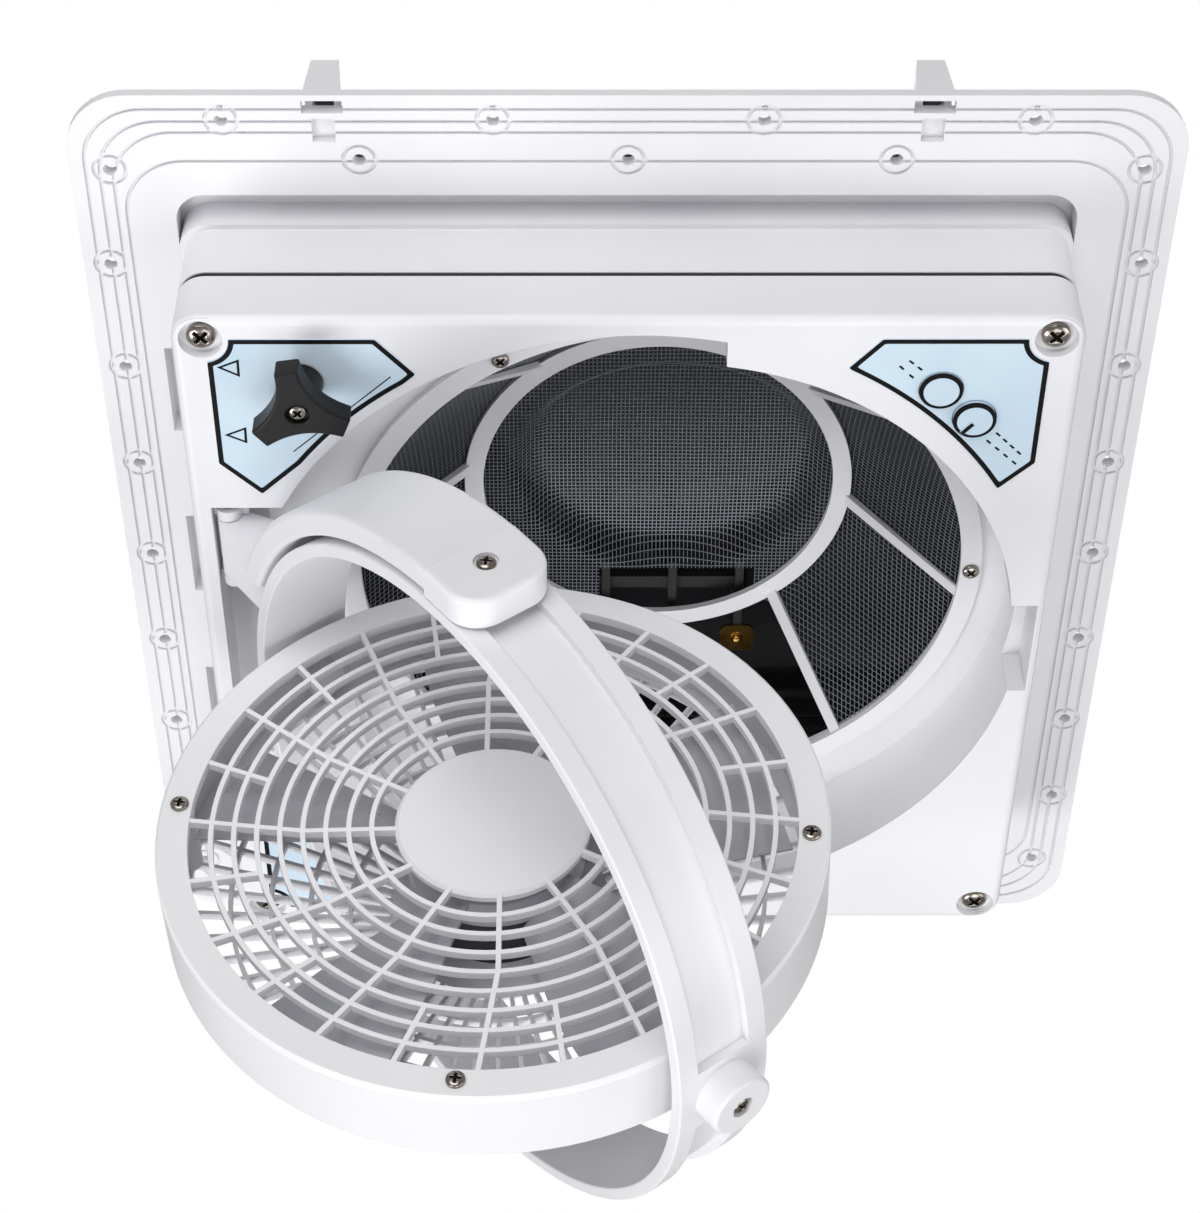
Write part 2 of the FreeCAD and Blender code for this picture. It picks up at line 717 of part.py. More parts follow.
def make_lift_gear():
    low, high = knob_x - wheel_wide / 2, knob_x + wheel_wide / 2
    centre = V(low, wheel_axle_y, wheel_axle_z)
    body = rod(centre, centre + V(high - low, 0, 0), wheel_r)
    body = body.fuse(rod(centre, centre + V(arm_plane - low, 0, 0), wheel_hub_r))
    gaps = []
    for k in range(wheel_teeth):
        notch = block((low - 1, -1.2, wheel_r - tooth_deep), (high + 1, 1.2, wheel_r + 1))
        notch = turned_about(notch, V(0, 0, 0), X_AXIS, k * 360 / wheel_teeth)
        gaps.append(moved(notch, V(0, wheel_axle_y, wheel_axle_z)))
    gaps.append(rod(centre - V(1, 0, 0), centre + V(arm_plane - low + 1, 0, 0), lift_axle_r + running_gap))
    return body.cut(Part.makeCompound(gaps))


bracket_x = knob_x - bracket_inset


def make_lift_axle():
    end = arm_plane + lift_arm_thick + 1.0
    return rod(V(bracket_x, wheel_axle_y, wheel_axle_z), V(end, wheel_axle_y, wheel_axle_z), lift_axle_r)


shaft_top = wheel_axle_z + worm_long / 2 + 6.0


def make_lift_bracket():
    """A plate bolted to the housing's side wall; it holds the wheel's axle and the top of the worm's shaft."""
    wall = box_half - box_wall
    near = knob_y - 10.0
    far = wheel_axle_y + wheel_r
    foot_z = -2.0
    top = shaft_top - 1.0
    web = block((bracket_x - bracket_thick, near, foot_z), (bracket_x, far, top))
    foot = block((-wall, near, foot_z), (bracket_x, far, foot_z + bracket_thick))
    cap = block((bracket_x - bracket_thick, near, top - bracket_thick), (arm_plane - 1.0, knob_y + 8.0, top))
    body = joined([web, foot, cap])
    cuts = [rod(V(bracket_x - bracket_thick - 1, wheel_axle_y, wheel_axle_z),
                V(bracket_x + 1, wheel_axle_y, wheel_axle_z), lift_axle_r)]
    cuts.append(disc(knob_x, knob_y, worm_shaft_r + running_gap, top - bracket_thick - 1, top + 1))
    return body.cut(Part.makeCompound(cuts))


def make_worm_shaft():
    """The knob's long shaft with the worm's thread near its top."""
    low = bezel_face - knob_hub_high
    shaft = disc(knob_x, knob_y, worm_shaft_r, low, shaft_top)
    core_r = worm_r - 1.6
    worm_low = wheel_axle_z - worm_long / 2
    core = disc(knob_x, knob_y, core_r, worm_low, worm_low + worm_long)
    pitch = 2 * math.pi * wheel_r / wheel_teeth
    helix = Part.makeHelix(pitch, worm_long - 2 * pitch, core_r)
    half = pitch * 0.24
    crest = pitch * 0.12
    tooth = Part.makePolygon([V(core_r - 0.8, 0, -half), V(worm_r, 0, -crest), V(worm_r, 0, crest),
                              V(core_r - 0.8, 0, half), V(core_r - 0.8, 0, -half)])
    thread = Part.Wire(helix).makePipeShell([tooth], True, True)
    thread = moved(thread, V(knob_x, knob_y, worm_low + pitch))
    body = joined([shaft, core, thread])
    return body.cut(disc(knob_x, knob_y, small_shank_r, low - 1, low + 12))


def make_lift_knob():
    """Three rounded lobes on a short hub; the shaft ends in the hub."""
    high = bezel_face - knob_hub_high
    low = high - knob_thick
    lobes = [disc(knob_x, knob_y, knob_waist_r, low, high)]
    for turn in (21, 141, 261):
        t = math.radians(turn)
        reach = knob_lobe_r - knob_lobe_tip_r
        tip = V(knob_x + reach * math.cos(t), knob_y + reach * math.sin(t), 0)
        lobes.append(disc(tip.x, tip.y, knob_lobe_tip_r, low, high))
        across = V(-math.sin(t), math.cos(t), 0)
        corners = [V(knob_x, knob_y, 0) + across * knob_waist_r, tip + across * knob_lobe_tip_r,
                   tip - across * knob_lobe_tip_r, V(knob_x, knob_y, 0) - across * knob_waist_r]
        lobes.append(plate_xy([(c.x, c.y) for c in corners], low, high))
    body = joined(lobes)
    rim = [e for e in body.Edges if max(v.Z for v in e.Vertexes) < low + 0.1]
    body = body.makeFillet(2.0, rim)
    hub = disc(knob_x, knob_y, knob_hub_r, high, bezel_face - face_gap)
    hub = hub.cut(disc(knob_x, knob_y, worm_shaft_r, high - 1, bezel_face))
    body = body.fuse(hub)
    body = body.cut(disc(knob_x, knob_y, pivot_recess_r, low - 1, low + knob_recess_deep))
    return body.cut(disc(knob_x, knob_y, small_shank_r, low - 1, high + 1))


def make_knob_screw():
    seat = bezel_face - knob_hub_high - knob_thick + knob_recess_deep
    screw = cross_screw(small_head_r, small_head_high, small_shank_r, knob_thick + 6)
    return moved(screw, V(knob_x, knob_y, seat))


def make_hinge_bracket():
    """Two cheeks on a base plate in the bezel's pocket."""
    plate_low = hinge_pocket_ceiling - bezel_wall + 1
    left, right = hinge_pocket_left + slide_gap, hinge_x + 14
    near = knuckle_near - slide_gap - cheek_wide
    far = knuckle_far + slide_gap + cheek_wide
    adds = [block((left, near, plate_low), (right, far, hinge_pocket_ceiling))]
    for y in (near, far - cheek_wide):
        adds.append(block((left, y, hinge_z), (right - 6, y + cheek_wide, plate_low)))
        adds.append(rod(V(hinge_x, y, hinge_z), V(hinge_x, y + cheek_wide, hinge_z), knuckle_r))
    body = joined(adds)
    return body.cut(rod(V(hinge_x, near - 1, hinge_z), V(hinge_x, far + 1, hinge_z), hinge_pin_r))


def make_hinge_pin():
    near = knuckle_near - slide_gap - cheek_wide
    far = knuckle_far + slide_gap + cheek_wide
    return rod(V(hinge_x, near, hinge_z), V(hinge_x, far, hinge_z), hinge_pin_r)


def make_swing_arm():
    """A curved strap round a quarter of the ring, a pivot pad at its end and a hinge knuckle at its root."""
    strap = Part.makeCylinder(arm_out, ring_wide, V(0, 0, -ring_half))
    strap = strap.cut(Part.makeCylinder(arm_in, ring_wide + 2, V(0, 0, -ring_half - 1)))
    far = 2 * arm_out
    start = math.radians(arm_start)
    wedge = plate_xy([(0, 0), (far * math.cos(start), far * math.sin(start)), (-far, -far), (0, -far)],
                     -ring_wide, ring_wide)
    strap = strap.common(wedge)
    long_edges = [e for e in strap.Edges if isinstance(e.Curve, Part.Circle)]
    strap = strap.makeFillet(arm_edge_r, long_edges)
    pad = block((-pad_back, -pad_out, -ring_half), (pad_end, -pad_in, ring_half))
    round_ends = [e for e in pad.Edges if min(v.X for v in e.Vertexes) > pad_end - 0.1
                  and abs(e.tangentAt(e.FirstParameter).y) > 0.9]
    pad = pad.makeFillet(pad_round_r, round_ends)
    outer_edges = [e for e in pad.Edges if max(v.Y for v in e.Vertexes) < -pad_out + 0.1
                   and max(v.X for v in e.Vertexes) > -pad_back + 0.1]
    pad = pad.makeFillet(arm_edge_r, outer_edges)
    body = joined([strap, pad])
    axis_x, axis_z = hinge_x - stow_x, hinge_z - stow_z
    near, end = knuckle_near - stow_y, knuckle_far - stow_y
    knuckle = rod(V(axis_x, near, axis_z), V(axis_x, end, axis_z), knuckle_r)
    root_x = arm_out * math.cos(start) + gusset_root
    reach_x = root_x + gusset_reach
    gusset_top = axis_z + gusset_high
    gusset = plate_xz([
        (axis_x, axis_z - knuckle_r), (reach_x, axis_z - knuckle_r), (reach_x, gusset_top),
        (root_x - gusset_lean, gusset_top), (axis_x - gusset_heel, axis_z + knuckle_r - gusset_trim)], near, end)
    gusset = gusset.cut(Part.makeCylinder(arm_in, 2 * ring_wide, V(0, 0, -ring_wide)))
    body = joined([body, knuckle, gusset])
    cuts = [rod(V(axis_x, near - 1, axis_z), V(axis_x, end + 1, axis_z), hinge_pin_r + running_gap)]
    cuts.append(rod(V(0, -pad_out - 1, 0), V(0, -pad_in + 1, 0), stud_r + running_gap))
    cuts.append(rod(V(0, -pad_out - 1, 0), V(0, -pad_out + pad_recess_deep, 0), pad_recess_r))
    return body.cut(Part.makeCompound(cuts))


def make_gimbal_ring():
    """A full hoop with an outward channel, filled in at the pad and at the two tilt pivots."""
    body = turned([
        (ring_in, -ring_half), (ring_r, -ring_half), (ring_r, -ring_half + ring_lip),
        (ring_floor_r, -ring_half + ring_lip), (ring_floor_r, ring_half - ring_lip), (ring_r, ring_half - ring_lip),
        (ring_r, ring_half), (ring_in, ring_half)])
    rims = [e for e in body.Edges if isinstance(e.Curve, Part.Circle) and abs(abs(e.Vertexes[0].Z) - ring_half) < 0.1]
    body = body.makeFillet(ring_edge_r, rims)
    hoop = Part.makeCylinder(ring_r, ring_wide, V(0, 0, -ring_half))
    bore = Part.makeCylinder(ring_in, ring_wide + 2, V(0, 0, -ring_half - 1))
    pivot_pad = block((0, -pivot_pad_half, -ring_half + 2), (2 * ring_r, pivot_pad_half, ring_half - 2)).common(hoop).cut(bore)
    boss = rod(V(ring_floor_r - 1, 0, 0), V(pivot_out, 0, 0), pivot_boss_r)
    tip = [e for e in boss.Edges if min(v.X for v in e.Vertexes) > pivot_out - 0.1]
    boss = boss.makeFillet(1.5, tip)
    adds = [pivot_pad, boss]
    adds += [turned_about(a, V(0, 0, 0), Z_AXIS, 180) for a in (pivot_pad, boss)]
    adds.append(rod(V(0, -ring_floor_r + 1, 0), V(0, -ring_r - face_gap, 0), stud_r + 6))
    body = joined([body] + adds)
    cuts = []
    for side in (-1, 1):
        cuts.append(rod(V(side * (ring_in - 5), 0, 0), V(side * (pivot_out + 1), 0, 0), trunnion_r + running_gap))
        cuts.append(rod(V(side * (pivot_out - pivot_recess_deep), 0, 0), V(side * (pivot_out + 1), 0, 0), pivot_recess_r))
    cuts.append(rod(V(0, -ring_in + 5, 0), V(0, -pad_out, 0), stud_r))
    return body.cut(Part.makeCompound(cuts))


stud_end = pad_out - pad_recess_deep


def make_swivel_stud():
    """The pivot that stands on the ring and turns in the arm's pad, with a collar inside the ring."""
    stud = rod(V(0, -ring_in, 0), V(0, -stud_end, 0), stud_r)
    return stud.cut(rod(V(0, -stud_end + pivot_screw_long + face_gap, 0), V(0, -stud_end - 1, 0), small_shank_r))


def make_swivel_screw():
    screw = cross_screw(small_head_r, small_head_high, small_shank_r, pivot_screw_long)
    return moved(turned_about(screw, V(0, 0, 0), X_AXIS, -90), V(0, -stud_end, 0))


def make_trunnion():
    """A pin that runs in the ring's boss and in the fan's side, with a spacer flange between them."""
    inner = fan_in - 5.0
    outer = pivot_out - pivot_recess_deep
    pin = rod(V(inner, 0, 0), V(outer, 0, 0), trunnion_r)
    flange_in = fan_r + slide_gap
    flange_out = math.sqrt(ring_in ** 2 - trunnion_flange_r ** 2) - slide_gap
    pin = pin.fuse(rod(V(flange_in, 0, 0), V(flange_out, 0, 0), trunnion_flange_r))
    return pin.cut(rod(V(outer - pivot_screw_long - face_gap, 0, 0), V(outer + 1, 0, 0), small_shank_r))


def make_trunnion_screw():
    screw = cross_screw(small_head_r, small_head_high, small_shank_r, pivot_screw_long)
    return moved(turned_about(screw, V(0, 0, 0), Y_AXIS, -90), V(pivot_out - pivot_recess_deep, 0, 0))


def grille_screw_spots():
    reach = fan_r - grille_screw_inset
    turns = [math.radians(grille_screw_turn + 90 * k) for k in range(4)]
    return [(reach * math.cos(t), reach * math.sin(t)) for t in turns]


def make_fan_housing():
    """The drum round the blades, with screw posts and two pivot bosses inside."""
    body = turned([(fan_in, drum_front), (fan_r, drum_front), (fan_r, drum_rear), (fan_in, drum_rear)])
    wall = Part.makeCylinder(fan_r - 0.5, fan_deep, V(0, 0, drum_front))
    post_low = -fan_front + grille_lip
    depth = drum_rear - post_low
    adds = [Part.makeCylinder(5.0, depth, V(x, y, post_low)).common(wall) for x, y in grille_screw_spots()]
    for side in (-1, 1):
        adds.append(rod(V(side * (fan_in - 8), 0, 0), V(side * (fan_in + 1), 0, 0), trunnion_r + 4))
    body = joined([body] + adds)
    cuts = [Part.makeCylinder(small_shank_r, grille_screw_long + 2, V(x, y, drum_front - 1)) for x, y in grille_screw_spots()]
    for side in (-1, 1):
        cuts.append(rod(V(side * (fan_in - 5 - face_gap), 0, 0), V(side * (fan_r + 2), 0, 0), trunnion_r + running_gap))
    return body.cut(Part.makeCompound(cuts))


def spoke_bar(r0, turn0, r1, turn1, wide, low, high):
    """A straight bar between two points given by radius and angle."""
    a, b = math.radians(turn0), math.radians(turn1)
    p = V(r0 * math.cos(a), r0 * math.sin(a), 0)
    q = V(r1 * math.cos(b), r1 * math.sin(b), 0)
    along = (q - p).normalize()
    side = V(-along.y, along.x, 0) * (wide / 2)
    corners = [p + side, q + side, q - side, p - side]
    return plate_xy([(c.x, c.y) for c in corners], low, high)


def grille_ring_radius(index):
    """Radius of the middle of one ring, counted out from the hub cap."""
    return grille_hub_r + (grille_rim_in - grille_hub_r) * index / (grille_rings + 1)


def make_front_grille():
    front = -fan_front
    rim = turned([(grille_rim_in, front), (fan_r - 1, front), (fan_r, front + 1), (fan_r, drum_front),
                  (fan_in - 3, drum_front), (fan_in - 3, front + grille_lip), (grille_rim_in, front + grille_lip)])
    hub = turned([(0, front - 0.0), (grille_hub_r - 1.5, front), (grille_hub_r, front + 1.5),
                  (grille_hub_r, front + grille_bar_deep), (grille_hub_r - 2, front + grille_bar_deep),
                  (grille_hub_r - 2, front + grille_hub_thick), (0, front + grille_hub_thick)])
    bar_low = front + 0.4
    bar_high = front + grille_bar_deep
    half = grille_bar / 2
    adds = []
    for k in range(1, grille_rings + 1):
        r = grille_ring_radius(k)
        adds.append(turned([(r - half, bar_low), (r + half, bar_low), (r + half, bar_high), (r - half, bar_high)]))
    step = 360 / long_spokes
    middle_r = grille_ring_radius(grille_rings / 2)
    middle_turn = spoke_hub_turn + (spoke_rim_turn - spoke_hub_turn) * 0.36
    for k in range(long_spokes):
        t = k * step
        adds.append(spoke_bar(grille_hub_r - 1, t + spoke_hub_turn, middle_r, t + middle_turn, grille_bar,
                              bar_low, bar_high))
        adds.append(spoke_bar(middle_r, t + middle_turn, grille_rim_in + 1, t + spoke_rim_turn, grille_bar,
                              bar_low, bar_high))
        short_in = grille_ring_radius(short_spoke_from)
        middle = t + step / 2
        adds.append(spoke_bar(short_in, middle + middle_turn + 2.2, grille_rim_in + 1, middle + spoke_rim_turn,
                              grille_bar, bar_low, bar_high))
    body = joined([rim, hub] + adds)
    holes = [Part.makeCylinder(small_shank_r + running_gap, grille_screw_long, V(x, y, front - 1)) for x, y in grille_screw_spots()]
    return body.cut(Part.makeCompound(holes))


def make_grille_screws():
    screw = cross_screw(small_head_r, small_head_high, small_shank_r, grille_screw_long)
    return [moved(screw, V(x, y, -fan_front)) for x, y in grille_screw_spots()]


def make_rear_grille():
    """A shallow cone of thin slats from the drum's back edge to the motor plate."""
    back = drum_rear
    rim = turned([(rear_rim_in, back), (fan_r, back), (fan_r - rear_bevel, back + rear_rim_thick), (rear_rim_in, back + rear_rim_thick)])
    top = back + rear_rim_thick + rear_rise
    hub = turned([(0, top - motor_plate), (rear_hub_r, top - motor_plate), (rear_hub_r, top), (0, top)])
    low_edge = back + rear_rim_thick - rear_slat_deep + 1
    slope = [(rear_rim_in + 2, back), (rear_rim_in + 2, back + rear_rim_thick), (rear_hub_r - 1, top),
             (rear_hub_r - 1, top - rear_slat_deep), (rear_rim_in, max(low_edge, back))]
    slat = plate_xz(slope, -rear_slat_wide / 2, rear_slat_wide / 2)
    slats = [turned_about(slat, V(0, 0, 0), Z_AXIS, k * 360 / rear_slats) for k in range(rear_slats)]
    rings = []
    for k in range(1, rear_rings + 1):
        share = k / (rear_rings + 1)
        r = rear_rim_in + (rear_hub_r - rear_rim_in) * share
        z = back + rear_rim_thick + rear_rise * share
        half = rear_slat_wide / 2
        rings.append(turned([(r - half, z - 3.4), (r + half, z - 3.4), (r + half, z - 0.3), (r - half, z - 0.3)]))
    body = joined([rim, hub] + slats + rings)
    return body.cut(Part.makeCylinder(shaft_r + 2.5, 3 * motor_plate, V(0, 0, top - 2 * motor_plate)))


motor_rear = drum_rear + rear_rim_thick + rear_rise - motor_plate
motor_front = motor_rear - motor_long


def make_motor():
    """The motor's can hangs under the rear plate, open at the shaft."""
    can = turned([(0, motor_front), (motor_r - 3, motor_front), (motor_r, motor_front + 3), (motor_r, motor_rear),
                  (0, motor_rear)])
    boss = Part.makeCylinder(shaft_r + 2.2, motor_plate + 5, V(0, 0, motor_rear))
    return can.fuse(boss).cut(Part.makeCylinder(shaft_r + running_gap, 2 * motor_long, V(0, 0, motor_front - 1)))


rotor_front = -fan_front + grille_bar_deep + rotor_front_gap


def make_motor_shaft():
    return Part.makeCylinder(shaft_r, motor_rear + motor_plate - rotor_front - 1, V(0, 0, rotor_front + 1))


def blade_section(radius, chord, pitch):
    """A thin bowed section of a blade, square to its radius."""
    half = blade_thick / 2
    flat = [(-chord / 2, -half * 0.4), (0, -half - 2.0), (chord / 2, -half * 0.4), (chord / 2, half * 0.4),
            (0, half - 2.0), (-chord / 2, half * 0.4)]
    c, s = math.cos(math.radians(pitch)), math.sin(math.radians(pitch))
    points = [V(radius, u * c - w * s, u * s + w * c) for u, w in flat]
    return Part.makePolygon(points + points[:1])


def make_fan_blades():
    rotor_rear = rotor_front + blade_hub_long
    hub = turned([(0, rotor_front), (blade_hub_r - 3, rotor_front), (blade_hub_r, rotor_front + 3),
                  (blade_hub_r, rotor_rear), (blade_hub_r - 3, rotor_rear), (blade_hub_r - 3, rotor_front + 4),
                  (0, rotor_front + 4)])
    mast = Part.makeCylinder(shaft_r + 4, motor_front - 1 - rotor_front, V(0, 0, rotor_front))
    middle_r = (blade_hub_r + blade_tip_r) / 2
    sections = [
        blade_section(blade_hub_r - 2, blade_root_chord * 0.62, blade_root_pitch),
        blade_section(middle_r, (blade_root_chord + blade_tip_chord) / 2, (blade_root_pitch + blade_tip_pitch) / 2),
        blade_section(blade_tip_r, blade_tip_chord, blade_tip_pitch)]
    blade = Part.makeLoft(sections, True, True)
    blade = moved(blade, V(0, 0, rotor_front + blade_hub_long / 2 + blade_lift))
    blades = [turned_about(blade, V(0, 0, 0), Z_AXIS, k * 360 / blade_count) for k in range(blade_count)]
    body = joined([hub, mast] + blades)
    return body.cut(Part.makeCylinder(shaft_r, blade_hub_long, V(0, 0, rotor_front + 1)))


def make_power_button():
    """A low round cap on a stem that stops short of its switch by the button's travel."""
    low = bezel_face - label_thick - button_proud
    cap = disc(control_x, control_y, control_r, low, bezel_face + bezel_wall - 1)
    edge = [e for e in cap.Edges if max(v.Z for v in e.Vertexes) < low + 0.1]
    cap = cap.makeFillet(0.6, edge)
    stem = disc(control_x, control_y, 2.5, bezel_face + bezel_wall - 1, switch_seat - button_travel - slide_gap)
    return cap.fuse(stem)


switch_seat = bezel_face + bezel_wall + 4.0


def make_speed_dial():
    low = bezel_face - label_thick - dial_proud
    cap = disc(dial_x, dial_y, control_r, low, bezel_face + bezel_wall - 1)
    edge = [e for e in cap.Edges if max(v.Z for v in e.Vertexes) < low + 0.1]
    cap = cap.makeFillet(0.6, edge)
    shaft = disc(dial_x, dial_y, 2.5, bezel_face + bezel_wall - 1, switch_seat + switch_high - 2)
    bar = block((dial_x - 0.9, dial_y + 1.0, low - 0.6), (dial_x + 0.9, dial_y + control_r - 1, low + 1))
    return joined([cap, shaft, turned_about(bar, V(dial_x, dial_y, 0), Z_AXIS, dial_turn)])


def make_switch(x, y, bore_r, bore_deep):
    half = switch_side / 2
    body = block((x - half, y - half, switch_seat), (x + half, y + half, switch_seat + switch_high))
    body = turned_about(body, V(x, y, 0), Z_AXIS, 45)
    if bore_r:
        body = body.cut(disc(x, y, bore_r, switch_seat - 1, switch_seat + bore_deep))
    return body


def make_control_board():
    """The board that carries both switches, on two posts behind the label."""
    x, y = (control_x + dial_x) / 2, (control_y + dial_y) / 2
    low = switch_seat + switch_high
    half, side = board_long / 2, board_wide / 2
    body = block((x - half, y - side, low), (x + half, y + side, low + board_thick))
    for end in (-1, 1):
        px = x + end * (half - 2.5)
        body = body.fuse(block((px - 2, y - 2.5, bezel_face + bezel_wall), (px + 2, y + 2.5, low)))
    return turned_about(body, V(x, y, 0), Z_AXIS, 45)


def stiffener_fins():
    return [stiffener_x + share * stiffener_long / 2 for share in (-0.9, 0, 0.9)]


def make_lid_stiffener():
    """A dark finned bar across the lid's underside."""
    top = lid_top - lid_wall
    middle = stiffener_x
    half = stiffener_long / 2
    bar = block((middle - half, stiffener_y - 3.5, stiffener_low), (middle + half, stiffener_y + 3.5, stiffener_low + 6))
    fins = []
    for x, far in zip(stiffener_fins(), (fin_far, fin_far, long_fin_far)):
        fins.append(block((x - fin_half, stiffener_y - fin_near, stiffener_low - fin_drop),
                          (x + fin_half, stiffener_y + far, top)))
    return joined([bar] + fins)


def make_stiffener_plate():
    """A plated tie plate with a round rivet, under the bar's long fin."""
    x = stiffener_fins()[2]
    top = stiffener_low - fin_drop
    plate = slab(tie_half_x, tie_half_y, tie_corner_r, top - tie_thick, top, x, tie_y)
    rivet = Part.makeSphere(tie_rivet_r, V(x, tie_y, top - tie_thick))
    body = plate.fuse(rivet)
    return body.cut(disc(x, tie_y, 2 * tie_rivet_r, top, top + 2 * tie_rivet_r))


left_label, right_label, lower_label = make_labels()
bezel_screw = cross_screw(screw_head_r, screw_head_high, screw_shank_r, bezel_top - bezel_face + 12)
bezel_screws = [moved(bezel_screw, V(x, y, bezel_face + screw_well_deep)) for x, y in corner_screws()]
frame_screw = cross_screw(small_head_r, small_head_high, small_shank_r, screen_bar + 4)
frame_screws = [moved(frame_screw, V(x, y, recess_ceiling - screen_bar)) for x, y in screen_screws()]

parts = {
    "roof_flange": make_roof_flange(),
    "throat_housing": make_throat_housing(),
    "box_seal": make_seal(),
    "bezel": make_bezel(),
    "bezel_screws": Part.makeCompound(bezel_screws),
    "left_label": left_label,
    "right_label": right_label,
    "lower_label": lower_label,
    "screen_frame": make_screen_frame(),
    "insect_screen": make_insect_screen(),
    "screen_screws": Part.makeCompound(frame_screws),
    "hinge_bracket": make_hinge_bracket(),
    "hinge_pin": make_hinge_pin(),
    "lid_dome": make_lid_dome(),
    "lid_gasket": make_lid_gasket(),
    "lid_hinge_pins": make_lid_pins(),
    "lid_rail": make_lid_rail(),
    "lid_stiffener": make_lid_stiffener(),
    "stiffener_plate": make_stiffener_plate(),
    "lift_arm": make_lift_arm(),
    "lift_pin": make_lift_pin(),
    "lift_gear": make_lift_gear(),
    "lift_axle": make_lift_axle(),
    "lift_bracket": make_lift_bracket(),
    "worm_shaft": make_worm_shaft(),
    "lift_knob": make_lift_knob(),
    "knob_screw": make_knob_screw(),
    "swing_arm": on_ring(make_swing_arm()),
    "gimbal_ring": on_ring(make_gimbal_ring()),
    "swivel_stud": on_ring(make_swivel_stud()),
    "swivel_screw": on_ring(make_swivel_screw()),
    "tilt_trunnions": Part.makeCompound([on_ring(s) for s in at_both_pivots(make_trunnion)]),
    "trunnion_screws": Part.makeCompound([on_ring(s) for s in at_both_pivots(make_trunnion_screw)]),
    "fan_housing": on_fan(make_fan_housing()),
    "front_grille": on_fan(make_front_grille()),
    "grille_screws": Part.makeCompound([on_fan(s) for s in make_grille_screws()]),
    "rear_grille": on_fan(make_rear_grille()),
    "motor": on_fan(make_motor()),
    "motor_shaft": on_fan(make_motor_shaft()),
    "fan_blades": on_fan(make_fan_blades()),
    "power_button": make_power_button(),
    "speed_dial": make_speed_dial(),
    "button_switch": make_switch(control_x, control_y, 0, 0),
    "dial_switch": make_switch(dial_x, dial_y, 2.5 + running_gap, switch_high - 1),
    "control_board": make_control_board(),
}

os.makedirs("parts", exist_ok=True)
for name, shape in parts.items():
    shape.exportStep(f"parts/{name}.step")
    print(name, len(shape.Solids), "solids", round(shape.Volume / 1000, 2), "cm3", shape.isValid())
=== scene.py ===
import json
import math

import bmesh
import bpy
import numpy as np
from mathutils import Matrix, Vector


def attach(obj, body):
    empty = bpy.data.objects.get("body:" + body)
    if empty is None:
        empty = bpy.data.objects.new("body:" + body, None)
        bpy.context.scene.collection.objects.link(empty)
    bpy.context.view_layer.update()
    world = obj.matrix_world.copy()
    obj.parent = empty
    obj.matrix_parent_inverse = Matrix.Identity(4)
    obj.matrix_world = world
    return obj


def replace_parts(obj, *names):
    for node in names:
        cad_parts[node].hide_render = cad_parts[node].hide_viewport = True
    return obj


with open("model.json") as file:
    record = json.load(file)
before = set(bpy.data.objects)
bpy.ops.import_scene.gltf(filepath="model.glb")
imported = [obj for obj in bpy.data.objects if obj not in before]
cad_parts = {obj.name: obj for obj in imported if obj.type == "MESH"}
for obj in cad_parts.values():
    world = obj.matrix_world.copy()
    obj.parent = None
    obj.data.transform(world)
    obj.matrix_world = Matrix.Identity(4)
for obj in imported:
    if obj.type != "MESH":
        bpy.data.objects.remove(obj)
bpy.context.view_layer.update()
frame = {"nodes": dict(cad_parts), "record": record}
nodes = frame["nodes"]
subparts = frame["record"]["subparts"]
print("frame loaded:", len(nodes), "solids")


class Wire:
    # one output in a shader tree; sums and products of wires add Math nodes to that tree
    def __init__(self, tree, socket=None):
        self.tree = tree
        self.socket = socket

    def node(self, kind, settings, inputs, output=0):
        made = self.tree.nodes.new(kind)
        for key, value in settings.items():
            setattr(made, key, value)
        for key, value in inputs.items():
            if isinstance(value, Wire):
                self.tree.links.new(value.socket, made.inputs[key])
            else:
                made.inputs[key].default_value = value
        return Wire(self.tree, made.outputs[output] if made.outputs else None)

    def calc(self, operation, first, second):
        return self.node("ShaderNodeMath", {"operation": operation}, {0: first, 1: second})

    def __add__(self, other):
        return self.calc("ADD", self, other)

    def __radd__(self, other):
        return self.calc("ADD", other, self)

    def __sub__(self, other):
        return self.calc("SUBTRACT", self, other)

    def __rsub__(self, other):
        return self.calc("SUBTRACT", other, self)

    def __mul__(self, other):
        return self.calc("MULTIPLY", self, other)

    def __rmul__(self, other):
        return self.calc("MULTIPLY", other, self)

    def noise(self, scale, detail=2.0):
        inputs = {"Vector": self, "Scale": scale, "Detail": detail}
        return self.node("ShaderNodeTexNoise", {}, inputs, "Fac")

    def bump(self, strength, distance, normal=None):
        # this value as a height that bends the shading
        inputs = {"Strength": strength, "Distance": distance, "Height": self}
        if normal is not None:
            inputs["Normal"] = normal
        return self.node("ShaderNodeBump", {}, inputs)

    def softEdge(self, radius):
        # a normal that rounds edges by a small radius
        return self.node("ShaderNodeBevel", {"samples": 4}, {"Radius": radius})

    def step(self, low, high):
        # 0 below low, 1 above high, smooth between
        return self.node("ShaderNodeMapRange", {"interpolation_type": "SMOOTHSTEP"},
                         {"Value": self, "From Min": low, "From Max": high})

    def tint(self, first, second):
        # this value carries one colour over to another
        return self.node("ShaderNodeMix", {"data_type": "RGBA"}, {0: self, 6: first, 7: second}, 2)


def srgb(red, green, blue):
    # screen values from 0 to 255, turned into linear light by the usual curve
    channel = np.array([red, green, blue]) / 255.0
    linear = np.where(channel <= 0.04045, channel / 12.92, ((channel + 0.055) / 1.055) ** 2.4)
    return (*linear.tolist(), 1.0)


